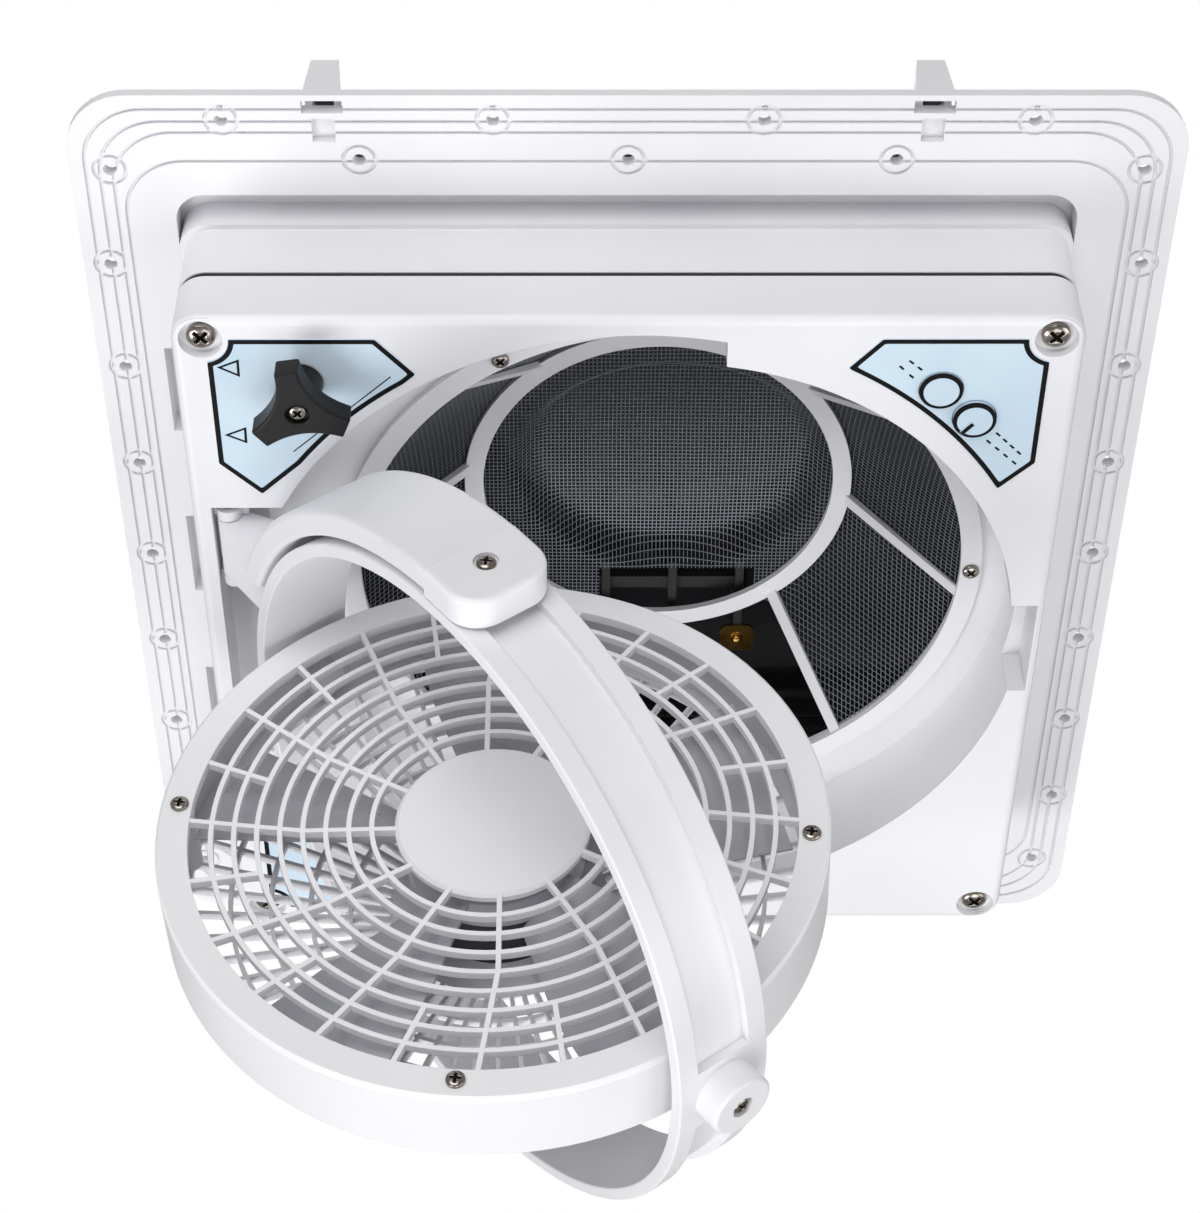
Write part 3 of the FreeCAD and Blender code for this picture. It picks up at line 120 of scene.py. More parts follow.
def newMaterial(name):
    made = bpy.data.materials.new(name)
    made.use_nodes = True
    made.node_tree.nodes.clear()
    start = Wire(made.node_tree)
    return made, start, start.node("ShaderNodeTexCoord", {}, {}, "Object")


def closeMaterial(start, **inputs):
    named = {key.replace("_", " "): value for key, value in inputs.items()}
    shader = start.node("ShaderNodeBsdfPrincipled", {}, named)
    start.node("ShaderNodeOutputMaterial", {}, {"Surface": shader})


plasticSkin = {
    "cloudScale": 11, "cloudEdge": (0.3, 0.7),
    "speckScale": 310, "speckEdge": (0.70, 0.76), "speckShare": 0.2,
    "handlingScale": 48, "roughSpread": 0.16, "grainStrength": 0.35, "ior": 1.49,
}


def mouldedPlastic(name, light, shade, rough, grain, grainHeight, edge, coat=0.0, shine=0.5):
    # clouds of two close shades, a fine moulded grain, and edges softened by a small radius
    s = plasticSkin
    made, start, place = newMaterial(name)
    clouds = place.noise(s["cloudScale"], detail=3.0).step(*s["cloudEdge"])
    handling = place.noise(s["handlingScale"], detail=4.0)
    pits = place.noise(grain)
    specks = place.noise(s["speckScale"], detail=1.0).step(*s["speckEdge"])
    base = (clouds * (1 - s["speckShare"]) + specks * s["speckShare"]).tint(light, shade)
    gloss = rough + (handling - 0.5) * s["roughSpread"]
    skin = pits.bump(s["grainStrength"], grainHeight, start.softEdge(edge))
    closeMaterial(start, Base_Color=base, Roughness=gloss, Normal=skin, IOR=s["ior"],
                  Coat_Weight=coat, Specular_IOR_Level=shine)
    return made


metalSkin = {
    "patchScale": 180, "patchEdge": (0.35, 0.65), "edge": 0.00025,
    "markStrength": 0.25, "markHeight": 0.00004, "roughSpread": 0.2,
}


def bareMetal(name, light, shade, rough, grain):
    # two close tones in patches, with fine turning marks that break up the shine
    s = metalSkin
    made, start, place = newMaterial(name)
    patches = place.noise(s["patchScale"], detail=3.0).step(*s["patchEdge"])
    marks = place.noise(grain, detail=3.0)
    base = patches.tint(light, shade)
    gloss = rough + (marks - 0.5) * s["roughSpread"]
    skin = marks.bump(s["markStrength"], s["markHeight"], start.softEdge(s["edge"]))
    closeMaterial(start, Base_Color=base, Metallic=1.0, Roughness=gloss, Normal=skin)
    return made


filmSkin = {
    "cloudScale": 24, "cloudEdge": (0.3, 0.7), "inkScale": 900, "inkShare": 0.25, "inkStrength": 0.15,
    "inkHeight": 0.00005, "roughSpread": 0.12,
}


def printedFilm(name, light, shade, rough=0.34, coat=0.15, shine=0.5):
    # a printed film with a faint screen of ink and a smooth top coat
    s = filmSkin
    made, start, place = newMaterial(name)
    clouds = place.noise(s["cloudScale"], detail=3.0)
    ink = place.noise(s["inkScale"], detail=1.0)
    base = (clouds.step(*s["cloudEdge"]) * (1 - s["inkShare"]) + ink * s["inkShare"]).tint(light, shade)
    gloss = rough + (clouds - 0.5) * s["roughSpread"]
    skin = ink.bump(s["inkStrength"], s["inkHeight"])
    closeMaterial(start, Base_Color=base, Roughness=gloss, Normal=skin, Coat_Weight=coat,
                  Specular_IOR_Level=shine)
    return made


zincSkin = {
    "driftScale": 60, "driftEdge": (0.35, 0.65),
    "turnScale": 140, "turnEdge": (0.55, 0.75), "roseShare": 0.6,
    "grain": 2200, "grainStrength": 0.2, "grainHeight": 0.00005, "rough": 0.24, "roughSpread": 0.2,
}


def platedZinc(name):
    # yellow passivated zinc: two golds in drifts, with brownish patches over them
    s = zincSkin
    made, start, place = newMaterial(name)
    drift = place.noise(s["driftScale"], detail=3.0).step(*s["driftEdge"])
    turn = place.noise(s["turnScale"])
    gold = drift.tint(srgb(158, 116, 48), srgb(184, 146, 76))
    base = (turn.step(*s["turnEdge"]) * s["roseShare"]).tint(gold, srgb(128, 100, 78))
    gloss = s["rough"] + (turn - 0.5) * s["roughSpread"]
    skin = place.noise(s["grain"]).bump(s["grainStrength"], s["grainHeight"])
    closeMaterial(start, Base_Color=base, Metallic=1.0, Roughness=gloss, Normal=skin)
    return made


boardSkin = {
    "trackScale": 260.0, "trackGap": 0.12, "trackStrength": 0.3, "trackHeight": 0.00008,
    "rough": 0.3, "roughScale": 300, "roughSpread": 0.1,
}


def circuitBoard(name):
    # green lacquer over darker copper tracks in a square weave
    s = boardSkin
    made, start, place = newMaterial(name)
    inputs = {"Vector": place, "Scale": s["trackScale"], "Mortar Size": s["trackGap"]}
    tracks = place.node("ShaderNodeTexBrick", {"offset": 0.5}, inputs, "Fac")
    base = tracks.tint(srgb(22, 84, 52), srgb(46, 122, 74))
    gloss = s["rough"] + place.noise(s["roughScale"]) * s["roughSpread"]
    skin = tracks.bump(s["trackStrength"], s["trackHeight"])
    closeMaterial(start, Base_Color=base, Roughness=gloss, Normal=skin)
    return made


threadSkin = {
    "nearY": -0.085, "farY": 0.045, "crown": (0.022, -0.014, 0.050), "crownWide": 1.2,
    "paintedLightIn": 0.047, "paintedLightOut": 0.057, "paintedLightShare": 0.85, "cloudScale": 30,
    "rough": 0.34, "roughScale": 400, "roughSpread": 0.12,
}


def screenThread(name, threadTone, paintedLitTone):
    # coated thread; the raised crown of the screen is painted lighter, most of all towards its far side:
    # a painted pool of light, with random clouds of tone mixed in
    s = threadSkin
    made, start, place = newMaterial(name)
    far = place.node("ShaderNodeSeparateXYZ", {}, {"Vector": place}, "Y").step(s["nearY"], s["farY"])
    squeeze = (1 / s["crownWide"], 1, 1)
    x, y, z = s["crown"]
    middle = (x / s["crownWide"], y, z)
    narrow = place.node("ShaderNodeVectorMath", {"operation": "MULTIPLY"}, {0: place, 1: squeeze})
    away = place.node("ShaderNodeVectorMath", {"operation": "DISTANCE"}, {0: narrow, 1: middle}, "Value")
    # painted light: the crown's far part takes the lighter tone
    paintedLitCrown = far * (1 - away.step(s["paintedLightIn"], s["paintedLightOut"]))
    clouds = place.noise(s["cloudScale"], detail=3.0)
    base = (paintedLitCrown * s["paintedLightShare"] + clouds * (1 - s["paintedLightShare"])).tint(threadTone, paintedLitTone)
    gloss = s["rough"] + place.noise(s["roughScale"]) * s["roughSpread"]
    closeMaterial(start, Base_Color=base, Roughness=gloss)
    return made


finishes = {
    "white_plastic": mouldedPlastic(
        "whitePlastic", srgb(238, 238, 241), srgb(232, 232, 236),
        rough=0.36, grain=1500, grainHeight=0.00008, edge=0.0003),
    "bracket_plastic": mouldedPlastic(
        "bracketPlastic", srgb(228, 228, 231), srgb(219, 220, 224),
        rough=0.42, grain=1200, grainHeight=0.0001, edge=0.0006),
    "blade_plastic": mouldedPlastic(
        "bladePlastic", srgb(182, 183, 188), srgb(170, 171, 177),
        rough=0.30, grain=1500, grainHeight=0.00006, edge=0.0005),
    "black_rubber": mouldedPlastic(
        "blackRubber", srgb(26, 26, 27), srgb(38, 38, 39),
        rough=0.72, grain=1400, grainHeight=0.0002, edge=0.0004),
    "screw_steel": bareMetal(
        "screwSteel", srgb(172, 164, 155), srgb(138, 131, 123), rough=0.2, grain=2600),
    "pin_steel": bareMetal(
        "pinSteel", srgb(190, 190, 192), srgb(160, 160, 163), rough=0.32, grain=2200),
    "label_blue": printedFilm("labelBlue", srgb(212, 231, 244), srgb(200, 222, 238)),
    "control_blue": printedFilm("controlBlue", srgb(208, 227, 241), srgb(198, 220, 236)),
    "black_plastic": mouldedPlastic(
        "blackPlastic", srgb(19, 19, 21), srgb(14, 14, 16),
        rough=0.46, grain=1300, grainHeight=0.00016, edge=0.0008, shine=0.32),
    # the second tone is painted light on the screen's crown
    "screen_mesh": screenThread("screenThread", srgb(106, 110, 116), srgb(160, 166, 174)),
    "motor_black": mouldedPlastic(
        "motorBlack", srgb(30, 30, 32), srgb(42, 42, 45),
        rough=0.4, grain=1100, grainHeight=0.0001, edge=0.0006),
    "gold_zinc": platedZinc("goldZinc"),
    "smoke_plastic": mouldedPlastic(
        "smokePlastic", srgb(40, 42, 45), srgb(30, 31, 34),
        rough=0.2, grain=900, grainHeight=0.00004, edge=0.0012, coat=0.4),
    "gear_plastic": mouldedPlastic(
        "gearPlastic", srgb(232, 228, 214), srgb(220, 215, 199),
        rough=0.4, grain=1200, grainHeight=0.00008, edge=0.0003),
    "board_green": circuitBoard("boardGreen"),
}
blackInk = printedFilm("blackInk", srgb(8, 8, 9), srgb(15, 15, 17), rough=0.6, coat=0.0, shine=0.15)
# painted shade for the hollows of the screws' crosses
paintedCrossShade = bareMetal("paintedCrossShade", srgb(30, 27, 24), srgb(19, 17, 15), rough=0.5, grain=2600)
# a lighter copy of the white plastic for the front grille: painted light
paintedLightGrille = mouldedPlastic(
    "paintedLightGrille", srgb(248, 248, 250), srgb(244, 244, 247),
    rough=0.36, grain=1500, grainHeight=0.00008, edge=0.0003)
finBar = mouldedPlastic(
    "finBar", srgb(38, 36, 35), srgb(29, 28, 27),
    rough=0.5, grain=1300, grainHeight=0.0001, edge=0.0006)
ownFinish = {"lid_dome": finishes["smoke_plastic"], "lid_stiffener": finBar, "front_grille": paintedLightGrille}
for row in subparts:
    solid = nodes[row["node"]]
    finish = ownFinish.get(row["node"], finishes[row["material_slot"]])
    solid.data.materials.clear()
    solid.data.materials.append(finish)
print("finishes put on:", len(finishes))

screwHead = {
    "weld": 0.000001, "creaseAngle": 35.0, "rimShare": 0.9,
    "crossReach": 0.63, "sunkFrom": 0.065, "sunkTo": 0.5,
}


def islandLabels(mesh):
    # every vertex starts with its own number, and joined vertices keep taking the lower one
    pairs = np.zeros(2 * len(mesh.edges), np.int32)
    mesh.edges.foreach_get("vertices", pairs)
    pairs = pairs.reshape(-1, 2)
    label = np.arange(len(mesh.vertices))
    while True:
        low = label[pairs].min(1)
        after = label.copy()
        np.minimum.at(after, pairs[:, 0], low)
        np.minimum.at(after, pairs[:, 1], low)
        if (after == label).all():
            return label
        label = after


def sunkFaces(mesh):
    # a face is in a screw's cross by its depth below the head's top and its reach from the axis, both as
    # shares of the head's radius
    s = screwHead
    corners = np.zeros(3 * len(mesh.vertices))
    mesh.vertices.foreach_get("co", corners)
    corners = corners.reshape(-1, 3)
    label = islandLabels(mesh)
    centres = np.array([face.center for face in mesh.polygons])
    owner = label[[face.vertices[0] for face in mesh.polygons]]
    sunk = np.zeros(len(owner), bool)
    for island in np.unique(label):
        own = corners[label == island]
        middle = own.mean(0)
        axis = np.linalg.svd(own - middle, full_matrices=False)[2][0]
        along = (own - middle) @ axis
        apart = np.linalg.norm(own - middle - along[:, None] * axis, axis=1)
        rim = apart.max()
        if along[apart > s["rimShare"] * rim].mean() < 0:
            axis = -axis
            along = -along
        height = (centres - middle) @ axis
        depth = (along.max() - height) / rim
        reach = np.linalg.norm(centres - middle - height[:, None] * axis, axis=1) / rim
        inCross = (depth > s["sunkFrom"]) & (depth < s["sunkTo"]) & (reach < s["crossReach"])
        sunk |= inCross & (owner == island)
    return sunk


def ridingPiece(name, mesh, body):
    piece = bpy.data.objects.new(name, mesh)
    bpy.context.collection.objects.link(piece)
    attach(piece, body)
    return piece


def crossedScrews(node, body):
    # a merged copy of the screws, with painted shade, a dark metal tone, in their crosses
    s = screwHead
    shell = bmesh.new()
    shell.from_mesh(nodes[node].data)
    bmesh.ops.remove_doubles(shell, verts=shell.verts, dist=s["weld"])
    mesh = bpy.data.meshes.new(node + "_crossed")
    shell.to_mesh(mesh)
    shell.free()
    mesh.materials.append(finishes["screw_steel"])
    mesh.materials.append(paintedCrossShade)
    mesh.polygons.foreach_set("material_index", sunkFaces(mesh).astype(np.int32))
    mesh.polygons.foreach_set("use_smooth", np.ones(len(mesh.polygons), bool))
    mesh.set_sharp_from_angle(angle=math.radians(s["creaseAngle"]))
    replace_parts(ridingPiece(node + "_crossed", mesh, body), node)


screwNodes = [row["node"] for row in subparts if row["material_slot"] == "screw_steel"]
for body, members in frame["record"]["behaviour"]["bodies"].items():
    for node in members:
        if node in screwNodes:
            crossedScrews(node, body)
print("screw crosses darkened:", len(screwNodes))


def gridFaces(rows, columns):
    # quads between neighbouring rows of a grid whose columns close on themselves
    row = np.arange(rows - 1)[:, None] * columns
    column = np.arange(columns)[None, :]
    after = (column + 1) % columns
    quads = np.stack([row + column, row + after, row + columns + after, row + columns + column], -1)
    return quads.reshape(-1, 4)


def putPiece(name, points, faces, material, body, smooth=True):
    mesh = bpy.data.meshes.new(name)
    mesh.from_pydata(np.asarray(points, float).tolist(), [], faces)
    mesh.polygons.foreach_set("use_smooth", np.full(len(mesh.polygons), smooth))
    mesh.materials.append(material)
    mesh.update()
    return ridingPiece(name, mesh, body)


insectScreen = {
    "centre": (0.016, -0.0076), "pitchX": 0.00184, "pitchY": 0.0021, "threadR": 0.00027,
    "overlay": 0.00018, "stations": 8, "hubStations": 30, "edgeStations": 2, "sides": 4,
    "leastRun": 0.002, "leastKink": 0.0006,
    "hubR": 0.0866, "hubZ": 0.0404, "footR": 0.1295, "footZ": -0.0158,
    "crown": (0.006, -0.0064), "crownR": 0.050, "crownFoot": 0.061, "crownWide": 1.2, "crownRise": 0.013,
    "windowFrom": 51.0, "windowTo": 96.0, "gapFrom": -0.026, "gapTo": 0.046, "gapNear": 0.0535,
    "sway": 0.00022, "swayTurns": (61.0, 37.0),
}


def threadRuns(offset, across, hubStations):
    # a thread is two runs: from one rim over the hub disc, and from the disc's far edge to the other rim
    s = insectScreen
    low = math.tan(math.radians(s["windowFrom"]))
    high = math.tan(math.radians(180 - s["windowTo"]))
    reach = np.sqrt(s["footR"] ** 2 - offset ** 2)
    kink = np.sqrt(np.clip(s["hubR"] ** 2 - offset ** 2, s["leastKink"] ** 2, None))
    hubEnd = kink.copy()
    restart = kink.copy()
    rim = reach.copy()
    if across:
        # a cross thread on the window's side stops at one spoke and starts again at the other
        beyond = offset > 0
        restart = np.where(beyond, np.maximum(kink, offset / low), restart)
        hubEnd = np.where(beyond & (offset > s["hubR"]), -offset / high, hubEnd)
        # in the gap over the finned bar it stops short and starts again on the gap's other side
        inGap = (offset > s["gapNear"]) & (offset < s["hubR"])
        hubEnd = np.where(inGap, np.minimum(hubEnd, s["gapFrom"]), hubEnd)
        restart = np.where(inGap & (kink > s["gapTo"]), s["gapTo"], restart)
    else:
        spoke = np.where(offset > 0, offset * low, -offset * high)
        rim = np.where(spoke < reach, np.maximum(kink, spoke), rim)
        inGap = (offset > s["gapFrom"]) & (offset < s["gapTo"])
        hubEnd = np.where(inGap, np.minimum(hubEnd, s["gapNear"]), hubEnd)
    share = np.linspace(0, 1, s["stations"])
    bend = np.maximum(kink, -hubEnd)
    over = np.linspace(0, 1, hubStations)[1:]
    first = np.concatenate([-reach[:, None] + (reach - bend)[:, None] * share,
                            -bend[:, None] + (hubEnd + bend)[:, None] * over], 1)
    second = restart[:, None] + (rim - restart)[:, None] * share
    return first, second


def screenHeight(x, y):
    # level over the hub disc, a straight fall down the cone outside it, and a crown on the disc that
    # rises in a smooth step
    s = insectScreen
    fall = np.clip((np.hypot(x, y) - s["hubR"]) / (s["footR"] - s["hubR"]), 0, None)
    away = np.hypot((x - s["crown"][0]) / s["crownWide"], y - s["crown"][1])
    climb = np.clip((s["crownFoot"] - away) / (s["crownFoot"] - s["crownR"]), 0, 1)
    return s["hubZ"] + fall * (s["footZ"] - s["hubZ"]) + s["crownRise"] * climb ** 2 * (3 - 2 * climb)


def screenThreads(across):
    # threads lie side by side, sway a little, and follow the screen's height
    s = insectScreen
    pitch = s["pitchY"] if across else s["pitchX"]
    count = int(s["footR"] / pitch)
    offset = np.arange(-count, count + 1) * pitch
    overHub = np.abs(offset) < s["hubR"] - pitch
    turn = np.arange(s["sides"]) / s["sides"] * 2 * math.pi + math.pi / 4
    allPoints = []
    allFaces = []
    base = 0
    groups = []
    for own, stations in ((offset[overHub], s["hubStations"]), (offset[~overHub], s["edgeStations"])):
        groups += [(own, run) for run in threadRuns(own, across, stations)]
    for apart, run in groups:
        real = run[:, -1] - run[:, 0] > s["leastRun"]
        run = run[real]
        apart = apart[real][:, None]
        apart = apart + s["sway"] * np.sin(run * s["swayTurns"][0] + apart * s["swayTurns"][1])
        height = screenHeight(run, apart) if across else screenHeight(apart, run)
        layer = s["overlay"] if across else -s["overlay"]
        lift = height[:, :, None] + s["threadR"] * np.sin(turn) + layer
        side = apart[:, :, None] + s["threadR"] * np.cos(turn)
        along = np.broadcast_to(run[:, :, None], lift.shape)
        one, two = (along, side) if across else (side, along)
        allPoints.append(np.stack([one + s["centre"][0], two + s["centre"][1], lift], -1).reshape(-1, 3))
        threads, stations, sides = lift.shape
        tube = gridFaces(stations, sides)
        cap = np.arange(sides)
        single = np.concatenate([tube, np.stack([cap[::-1], cap + (stations - 1) * sides])])
        single = single[:, ::-1] if across else single
        starts = base + np.arange(threads) * stations * sides
        allFaces.append((single[None] + starts[:, None, None]).reshape(-1, 4))
        base += lift.size
    return np.concatenate(allPoints), np.concatenate(allFaces)


for name, across in (("screen_warp", False), ("screen_weft", True)):
    points, faces = screenThreads(across)
    piece = putPiece(name, points, faces.tolist(), finishes["screen_mesh"], "root")
    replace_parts(piece, "insect_screen")
print("insect screen woven")


def closedLine(corners, count):
    # evenly spaced points along a closed line through the corners
    corners = np.asarray(corners, float)
    loop = np.vstack([corners, corners[:1]])
    length = np.concatenate([[0], np.cumsum(np.linalg.norm(np.diff(loop, axis=0), axis=1))])
    at = np.linspace(0, length[-1], count, endpoint=False)
    return np.stack([np.interp(at, length, loop[:, 0]), np.interp(at, length, loop[:, 1])], -1)


def roundedLine(line, reach):
    # each point becomes a weighted mean of its neighbours, which rounds the corners
    weight = np.hanning(2 * reach + 3)[1:-1]
    shifted = [np.roll(line, step, 0) * share for step, share in zip(range(-reach, reach + 1), weight)]
    return np.sum(shifted, 0) / weight.sum()


def insetLine(line, depth):
    # points moved to the inner side along the line's normals, for a line that runs anticlockwise
    along = np.roll(line, -1, 0) - np.roll(line, 1, 0)
    along /= np.linalg.norm(along, axis=1, keepdims=True)
    return line + depth * np.stack([-along[:, 1], along[:, 0]], -1)


def stackRings(rings):
    # rings of (x, y) points at given heights, as one array of points
    layers = [np.column_stack([ring, np.full(len(ring), height)]) for ring, height in rings]
    return np.concatenate(layers)


cornerLabel = {
    "corners": [(0.0975, 0.166), (0.1625, 0.166), (0.1625, 0.104), (0.1465, 0.088), (0.0825, 0.149)],
    "bowl": (0.005, -0.005, 0.1672), "screw": (0.1643, 0.1655, 0.0107), "middle": (0.134, 0.138),
    "edge": 0.00005, "border": 0.0021, "points": 900, "roundReach": 2, "leastFacing": 1e-9,
    "places": [(-1, -1), (1, -1), (-1, 1)],
}


def rayOutline(corners, circles, middle, inset):
    # along each ray from the middle the outline is the nearest of the sides and round cut-outs, moved in
    count = cornerLabel["points"]
    turn = np.arange(count) / count * 2 * math.pi
    way = np.stack([np.cos(turn), np.sin(turn)], -1)
    side = np.roll(corners, -1, 0) - corners
    outward = np.stack([side[:, 1], -side[:, 0]], -1)
    facing = way @ outward.T
    gap = ((corners - middle) * outward).sum(1) - inset * np.linalg.norm(side, axis=1)
    meets = facing > cornerLabel["leastFacing"]
    reach = np.where(meets, gap / np.where(meets, facing, 1), np.inf).min(1)
    for x, y, radius in circles:
        away = middle - (x, y)
        lean = way @ away
        inside = lean ** 2 - (away @ away - (radius + inset) ** 2)
        hit = -lean - np.sqrt(np.clip(inside, 0, None))
        reach = np.where((inside > 0) & (hit > 0), np.minimum(reach, hit), reach)
    return middle + way * roundedLine(reach[:, None], cornerLabel["roundReach"])


printMarks = {
    "face": -0.0612, "ink": 0.00006, "sunk": 0.00005, "arrowInner": 0.66,
    "arrows": [[(-0.1590, -0.1526), (-0.1502, -0.1565), (-0.1504, -0.1479)],
               [(-0.1590, -0.1187), (-0.1501, -0.1227), (-0.1503, -0.1144)]],
    "thinLine": [(-0.0922, -0.1479), (-0.1324, -0.1101)], "thinWide": 0.0005,
    "dashRows": [((0.1463, -0.1187), (0.1555, -0.1092), 4), ((0.1429, -0.1149), (0.1541, -0.1041), 4),
                 ((0.1092, -0.1549), (0.1127, -0.1518), 2), ((0.1056, -0.1522), (0.1097, -0.1480), 2)],
    "dashLong": 0.0024, "dashWide": 0.0009,
}
controlRims = {
    "button": (0.12179, -0.14133, -0.0628), "dial": (0.13605, -0.12725, -0.0636),
    "capR": 0.0085, "capRound": 0.0006, "bandIn": 0.0070, "ink": 0.00006, "skirt": 0.0006,
    "steps": 6, "points": 96,
    "barTop": -0.0642, "barTurn": 130.0, "barFrom": 0.0011, "barTo": 0.0074, "barWide": 0.0017,
}


def ringPlate(outer, inner, face):
    # a flat ring between two closed lines, as thick as a coat of ink, standing on a face
    top = face - printMarks["ink"]
    base = face + printMarks["sunk"]
    rings = [(outer, base), (outer, top), (inner, top), (inner, base), (outer, base)]
    return stackRings(rings), gridFaces(len(rings), len(outer))[:, ::-1]


def barPlate(start, end, wide, face):
    # a straight stroke of ink as a flat ring whose inner line has closed up
    start = np.array(start)
    end = np.array(end)
    along = (end - start) / np.linalg.norm(end - start)
    side = np.array([-along[1], along[0]]) * wide / 2
    outer = np.array([start - side, end - side, end + side, start + side])
    middle = np.array([start, end, end, start])
    return ringPlate(outer, middle, face)


def putStrokes(name, strokes, body):
    # strokes as one mesh: each stroke's faces count on from the points before it
    base = np.cumsum([0] + [len(points) for points, faces in strokes])
    points = np.concatenate([points for points, faces in strokes])
    faces = np.concatenate([stroke[1] + start for stroke, start in zip(strokes, base)])
    putPiece(name, points, faces.tolist(), blackInk, body, smooth=False)


def labelBorder(signX, signY):
    # a band of ink between the panel's outline and the same outline moved in
    s = cornerLabel
    corners = np.array(s["corners"]) * (signX, signY)
    corners = corners if signX * signY < 0 else corners[::-1]
    middle = np.array(s["middle"]) * (signX, signY)
    screw = (s["screw"][0] * signX, s["screw"][1] * signY, s["screw"][2])
    circles = [s["bowl"], screw]
    outer = rayOutline(corners, circles, middle, s["edge"])
    inner = rayOutline(corners, circles, middle, s["border"])
    return ringPlate(outer, inner, printMarks["face"])


def panelPrint():
    # borders, hollow triangles, a thin line and evenly spaced dashes, all in one coat of ink
    s = printMarks
    strokes = [labelBorder(*signs) for signs in cornerLabel["places"]]
    for corners in s["arrows"]:
        corners = np.array(corners)
        around = np.roll(corners, -1, 0) - corners
        area = around[0, 0] * around[1, 1] - around[0, 1] * around[1, 0]
        corners = corners if area > 0 else corners[::-1]
        middle = corners.mean(0)
        strokes.append(ringPlate(corners, middle + (corners - middle) * s["arrowInner"], s["face"]))
    strokes.append(barPlate(*s["thinLine"], s["thinWide"], s["face"]))
    for start, end, count in s["dashRows"]:
        start = np.array(start)
        span = np.array(end) - start
        half = span / np.linalg.norm(span) * s["dashLong"] / 2
        for k in range(count):
            centre = start + span * k / (count - 1)
            strokes.append(barPlate(centre - half, centre + half, s["dashWide"], s["face"]))
    putStrokes("label_print", strokes, "root")


def rimBand(x, y, face):
    # a black band lathed over the cap's edge: flat on the face, round the edge, then down the side
    s = controlRims
    turn = np.arange(s["points"]) / s["points"] * 2 * math.pi
    circle = np.stack([np.cos(turn), np.sin(turn)], -1)
    bend = np.linspace(0, math.pi / 2, s["steps"])
    middleR = s["capR"] - s["capRound"]
    over = s["capRound"] + s["ink"]
    foot = face + s["capRound"] + s["skirt"]
    profile = [(s["bandIn"], face + s["skirt"]), (s["bandIn"], face - s["ink"])]
    profile += [(middleR + over * math.sin(a), face + s["capRound"] - over * math.cos(a)) for a in bend]
    profile += [(s["capR"] + s["ink"], foot), (s["bandIn"], foot), (s["bandIn"], face + s["skirt"])]
    points = stackRings([(circle * radius + (x, y), height) for radius, height in profile])
    return points, gridFaces(len(profile), s["points"])


def controlPrint():
    # a rim on the button, and on the dial a rim with a pointer bar along one radius
    s = controlRims
    putStrokes("button_rim", [rimBand(*s["button"])], "button")
    x, y, face = s["dial"]
    way = np.array([math.cos(math.radians(s["barTurn"])), math.sin(math.radians(s["barTurn"]))])
    bar = barPlate((x, y) + way * s["barFrom"], (x, y) + way * s["barTo"], s["barWide"], s["barTop"])
    putStrokes("dial_rim", [rimBand(x, y, face), bar], "dial")


panelPrint()
controlPrint()

liftKnob = {
    "centre": (-0.1270, -0.1455), "lobes": (21, 141, 261), "reach": 0.020, "tipHalf": 0.0046,
    "waist": 0.0056, "hubR": 0.0085, "hubTop": -0.0612, "top": -0.0722, "low": -0.0817, "boreR": 0.0017,
    "recessR": 0.0046, "recessDeep": 0.0025, "recessLip": 0.0004, "topBevel": 0.0005,
    "lowBevel": [(0.0, 0.0012), (0.00025, 0.0003), (0.0008, 0.0)],
    "curveSteps": 40, "points": 360, "roundReach": 4,
}


def knobPiece():
    # flat lobe ends joined by hollow curves; rings of that outline run from the hub over the sides to
    # the recess for the screw
    s = liftKnob
    share = np.linspace(0, 1, s["curveSteps"])[:, None]
    sides = []
    for turn, after in zip(s["lobes"], s["lobes"][1:] + (s["lobes"][0] + 360,)):
        a = math.radians(turn)
        b = math.radians(after)
        c = (a + b) / 2
        start = np.array([s["reach"] * math.cos(a) - s["tipHalf"] * math.sin(a),
                          s["reach"] * math.sin(a) + s["tipHalf"] * math.cos(a)])
        end = np.array([s["reach"] * math.cos(b) + s["tipHalf"] * math.sin(b),
                        s["reach"] * math.sin(b) - s["tipHalf"] * math.cos(b)])
        bend = np.array([math.cos(c), math.sin(c)]) * s["waist"]
        sides.append((1 - share) ** 2 * start + 2 * share * (1 - share) * bend + share ** 2 * end)
    line = roundedLine(closedLine(np.concatenate(sides), s["points"]), s["roundReach"])
    angle = np.arctan2(line[:, 1], line[:, 0])
    circle = np.stack([np.cos(angle), np.sin(angle)], -1)
    low = s["low"]
    lip = s["recessLip"]
    floor = low + s["recessDeep"]
    rings = [(circle * s["boreR"], s["hubTop"]), (circle * s["hubR"], s["hubTop"])]
    rings += [(circle * s["hubR"], s["top"])]
    rings += [(insetLine(line, s["topBevel"]), s["top"]), (line, s["top"] - s["topBevel"])]
    rings += [(insetLine(line, inset), low + rise) for inset, rise in s["lowBevel"]]
    rings += [(circle * (s["recessR"] + lip), low), (circle * s["recessR"], low + lip)]
    rings += [(circle * s["recessR"], floor), (circle * s["boreR"], floor)]
    points = stackRings(rings) + (*s["centre"], 0)
    count = s["points"]
    walls = gridFaces(len(rings), count)
    first = np.arange(count)
    ends = [first[::-1].tolist(), (first + (len(rings) - 1) * count).tolist()]
    piece = putPiece("lobed_knob", points, walls.tolist() + ends, finishes["black_plastic"],
                     "knob", smooth=False)
    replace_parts(piece, "lift_knob")


knobPiece()
print("knob and print made")

camera = {
    "lens": 82.77, "place": (-0.01806, -0.8248, -0.9080), "clipEnd": 50,
    "pitch": 0.8142, "yaw": 0.0093, "roll": -0.0079,
}


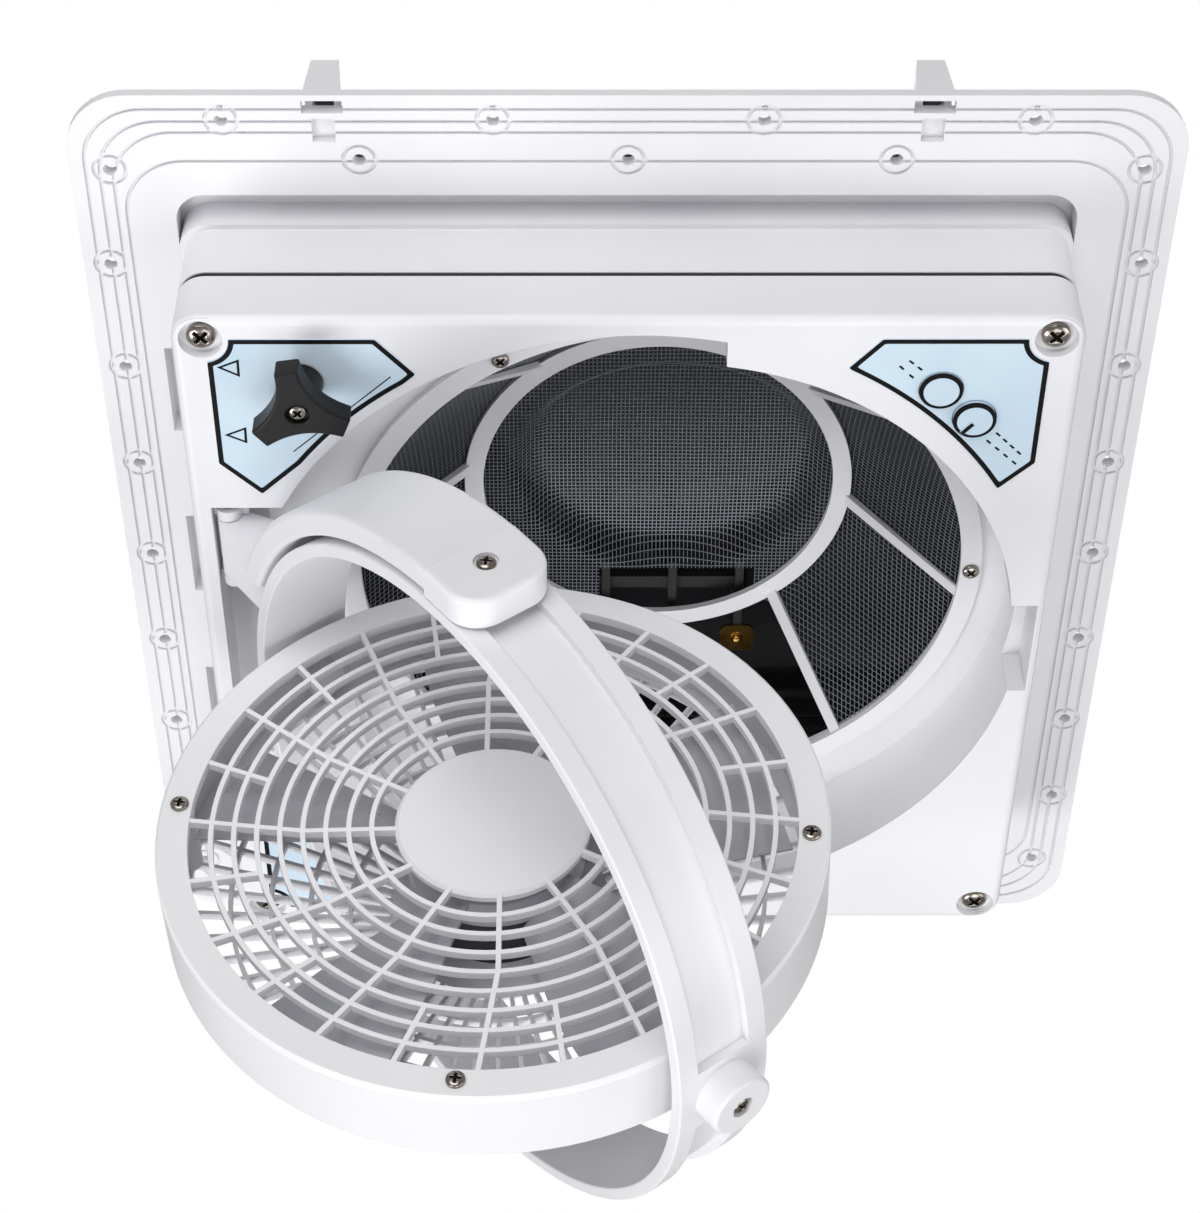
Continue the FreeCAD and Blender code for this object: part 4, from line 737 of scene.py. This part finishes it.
def placeCamera():
    # the view points along pitch and yaw, and the frame is rolled about that line
    c = camera
    ahead = Vector((math.sin(c["yaw"]) * math.cos(c["pitch"]), math.cos(c["yaw"]) * math.cos(c["pitch"]),
                    math.sin(c["pitch"])))
    right = Vector((math.cos(c["yaw"]), -math.sin(c["yaw"]), 0))
    up = right.cross(ahead)
    level = right * math.cos(c["roll"]) + up * math.sin(c["roll"])
    upright = up * math.cos(c["roll"]) - right * math.sin(c["roll"])
    turn = Matrix((level, upright, -ahead)).transposed().to_4x4()
    data = bpy.data.cameras.new("photoCamera")
    data.lens = c["lens"]
    data.clip_end = c["clipEnd"]
    made = bpy.data.objects.new("photoCamera", data)
    made.matrix_world = Matrix.Translation(c["place"]) @ turn
    bpy.context.collection.objects.link(made)
    bpy.context.scene.camera = made


studio = {
    "worldGlow": 0.30, "backdrop": 1.0,
    "floorZ": -2.6, "floorHalf": 7.0, "floorCloud": 3, "floorRough": 0.7,
    "lamps": [
        ("keyLamp", (-1.2, 0.6, -1.8), 1.0, 23.5),
        ("frontLamp", (-0.5, -2.0, -0.6), 1.5, 23.5),
        ("fillLamp", (1.6, -0.1, -1.2), 1.2, 10.0),
        ("underLamp", (0.4, 0.3, -2.0), 1.0, 9.0),
        ("topLamp", (0.3, 0.4, 1.8), 1.6, 14.0),
    ],
}


def lightStudio():
    # a white backdrop that lights less than it shows, area lamps aimed at the middle, and a pale floor
    s = studio
    world = bpy.data.worlds.new("studioWhite")
    world.use_nodes = True
    world.node_tree.nodes.clear()
    start = Wire(world.node_tree)
    glow = start.node("ShaderNodeBackground", {}, {"Color": (1, 1, 1, 1), "Strength": s["worldGlow"]})
    seen = start.node("ShaderNodeBackground", {}, {"Color": (1, 1, 1, 1), "Strength": s["backdrop"]})
    ray = start.node("ShaderNodeLightPath", {}, {}, "Is Camera Ray")
    both = start.node("ShaderNodeMixShader", {}, {0: ray, 1: glow, 2: seen})
    start.node("ShaderNodeOutputWorld", {}, {"Surface": both})
    bpy.context.scene.world = world
    for name, place, size, power in s["lamps"]:
        data = bpy.data.lights.new(name, "AREA")
        data.size = size
        data.energy = power
        lamp = bpy.data.objects.new(name, data)
        lamp.location = place
        lamp.rotation_euler = (-Vector(place)).to_track_quat("-Z", "Y").to_euler()
        bpy.context.collection.objects.link(lamp)
    made, start, place = newMaterial("paleFloor")
    pale = place.noise(s["floorCloud"]).tint(srgb(236, 236, 236), srgb(230, 230, 231))
    closeMaterial(start, Base_Color=pale, Roughness=s["floorRough"])
    half = s["floorHalf"]
    mesh = bpy.data.meshes.new("floor")
    square = ((-half, -half), (half, -half), (half, half), (-half, half))
    corners = [(x, y, s["floorZ"]) for x, y in square]
    mesh.from_pydata(corners, [], [(0, 1, 2, 3)])
    mesh.materials.append(made)
    floor = bpy.data.objects.new("floor", mesh)
    bpy.context.collection.objects.link(floor)


placeCamera()
lightStudio()
bpy.context.scene.view_settings.view_transform = "Standard"
print("camera and lamps set")
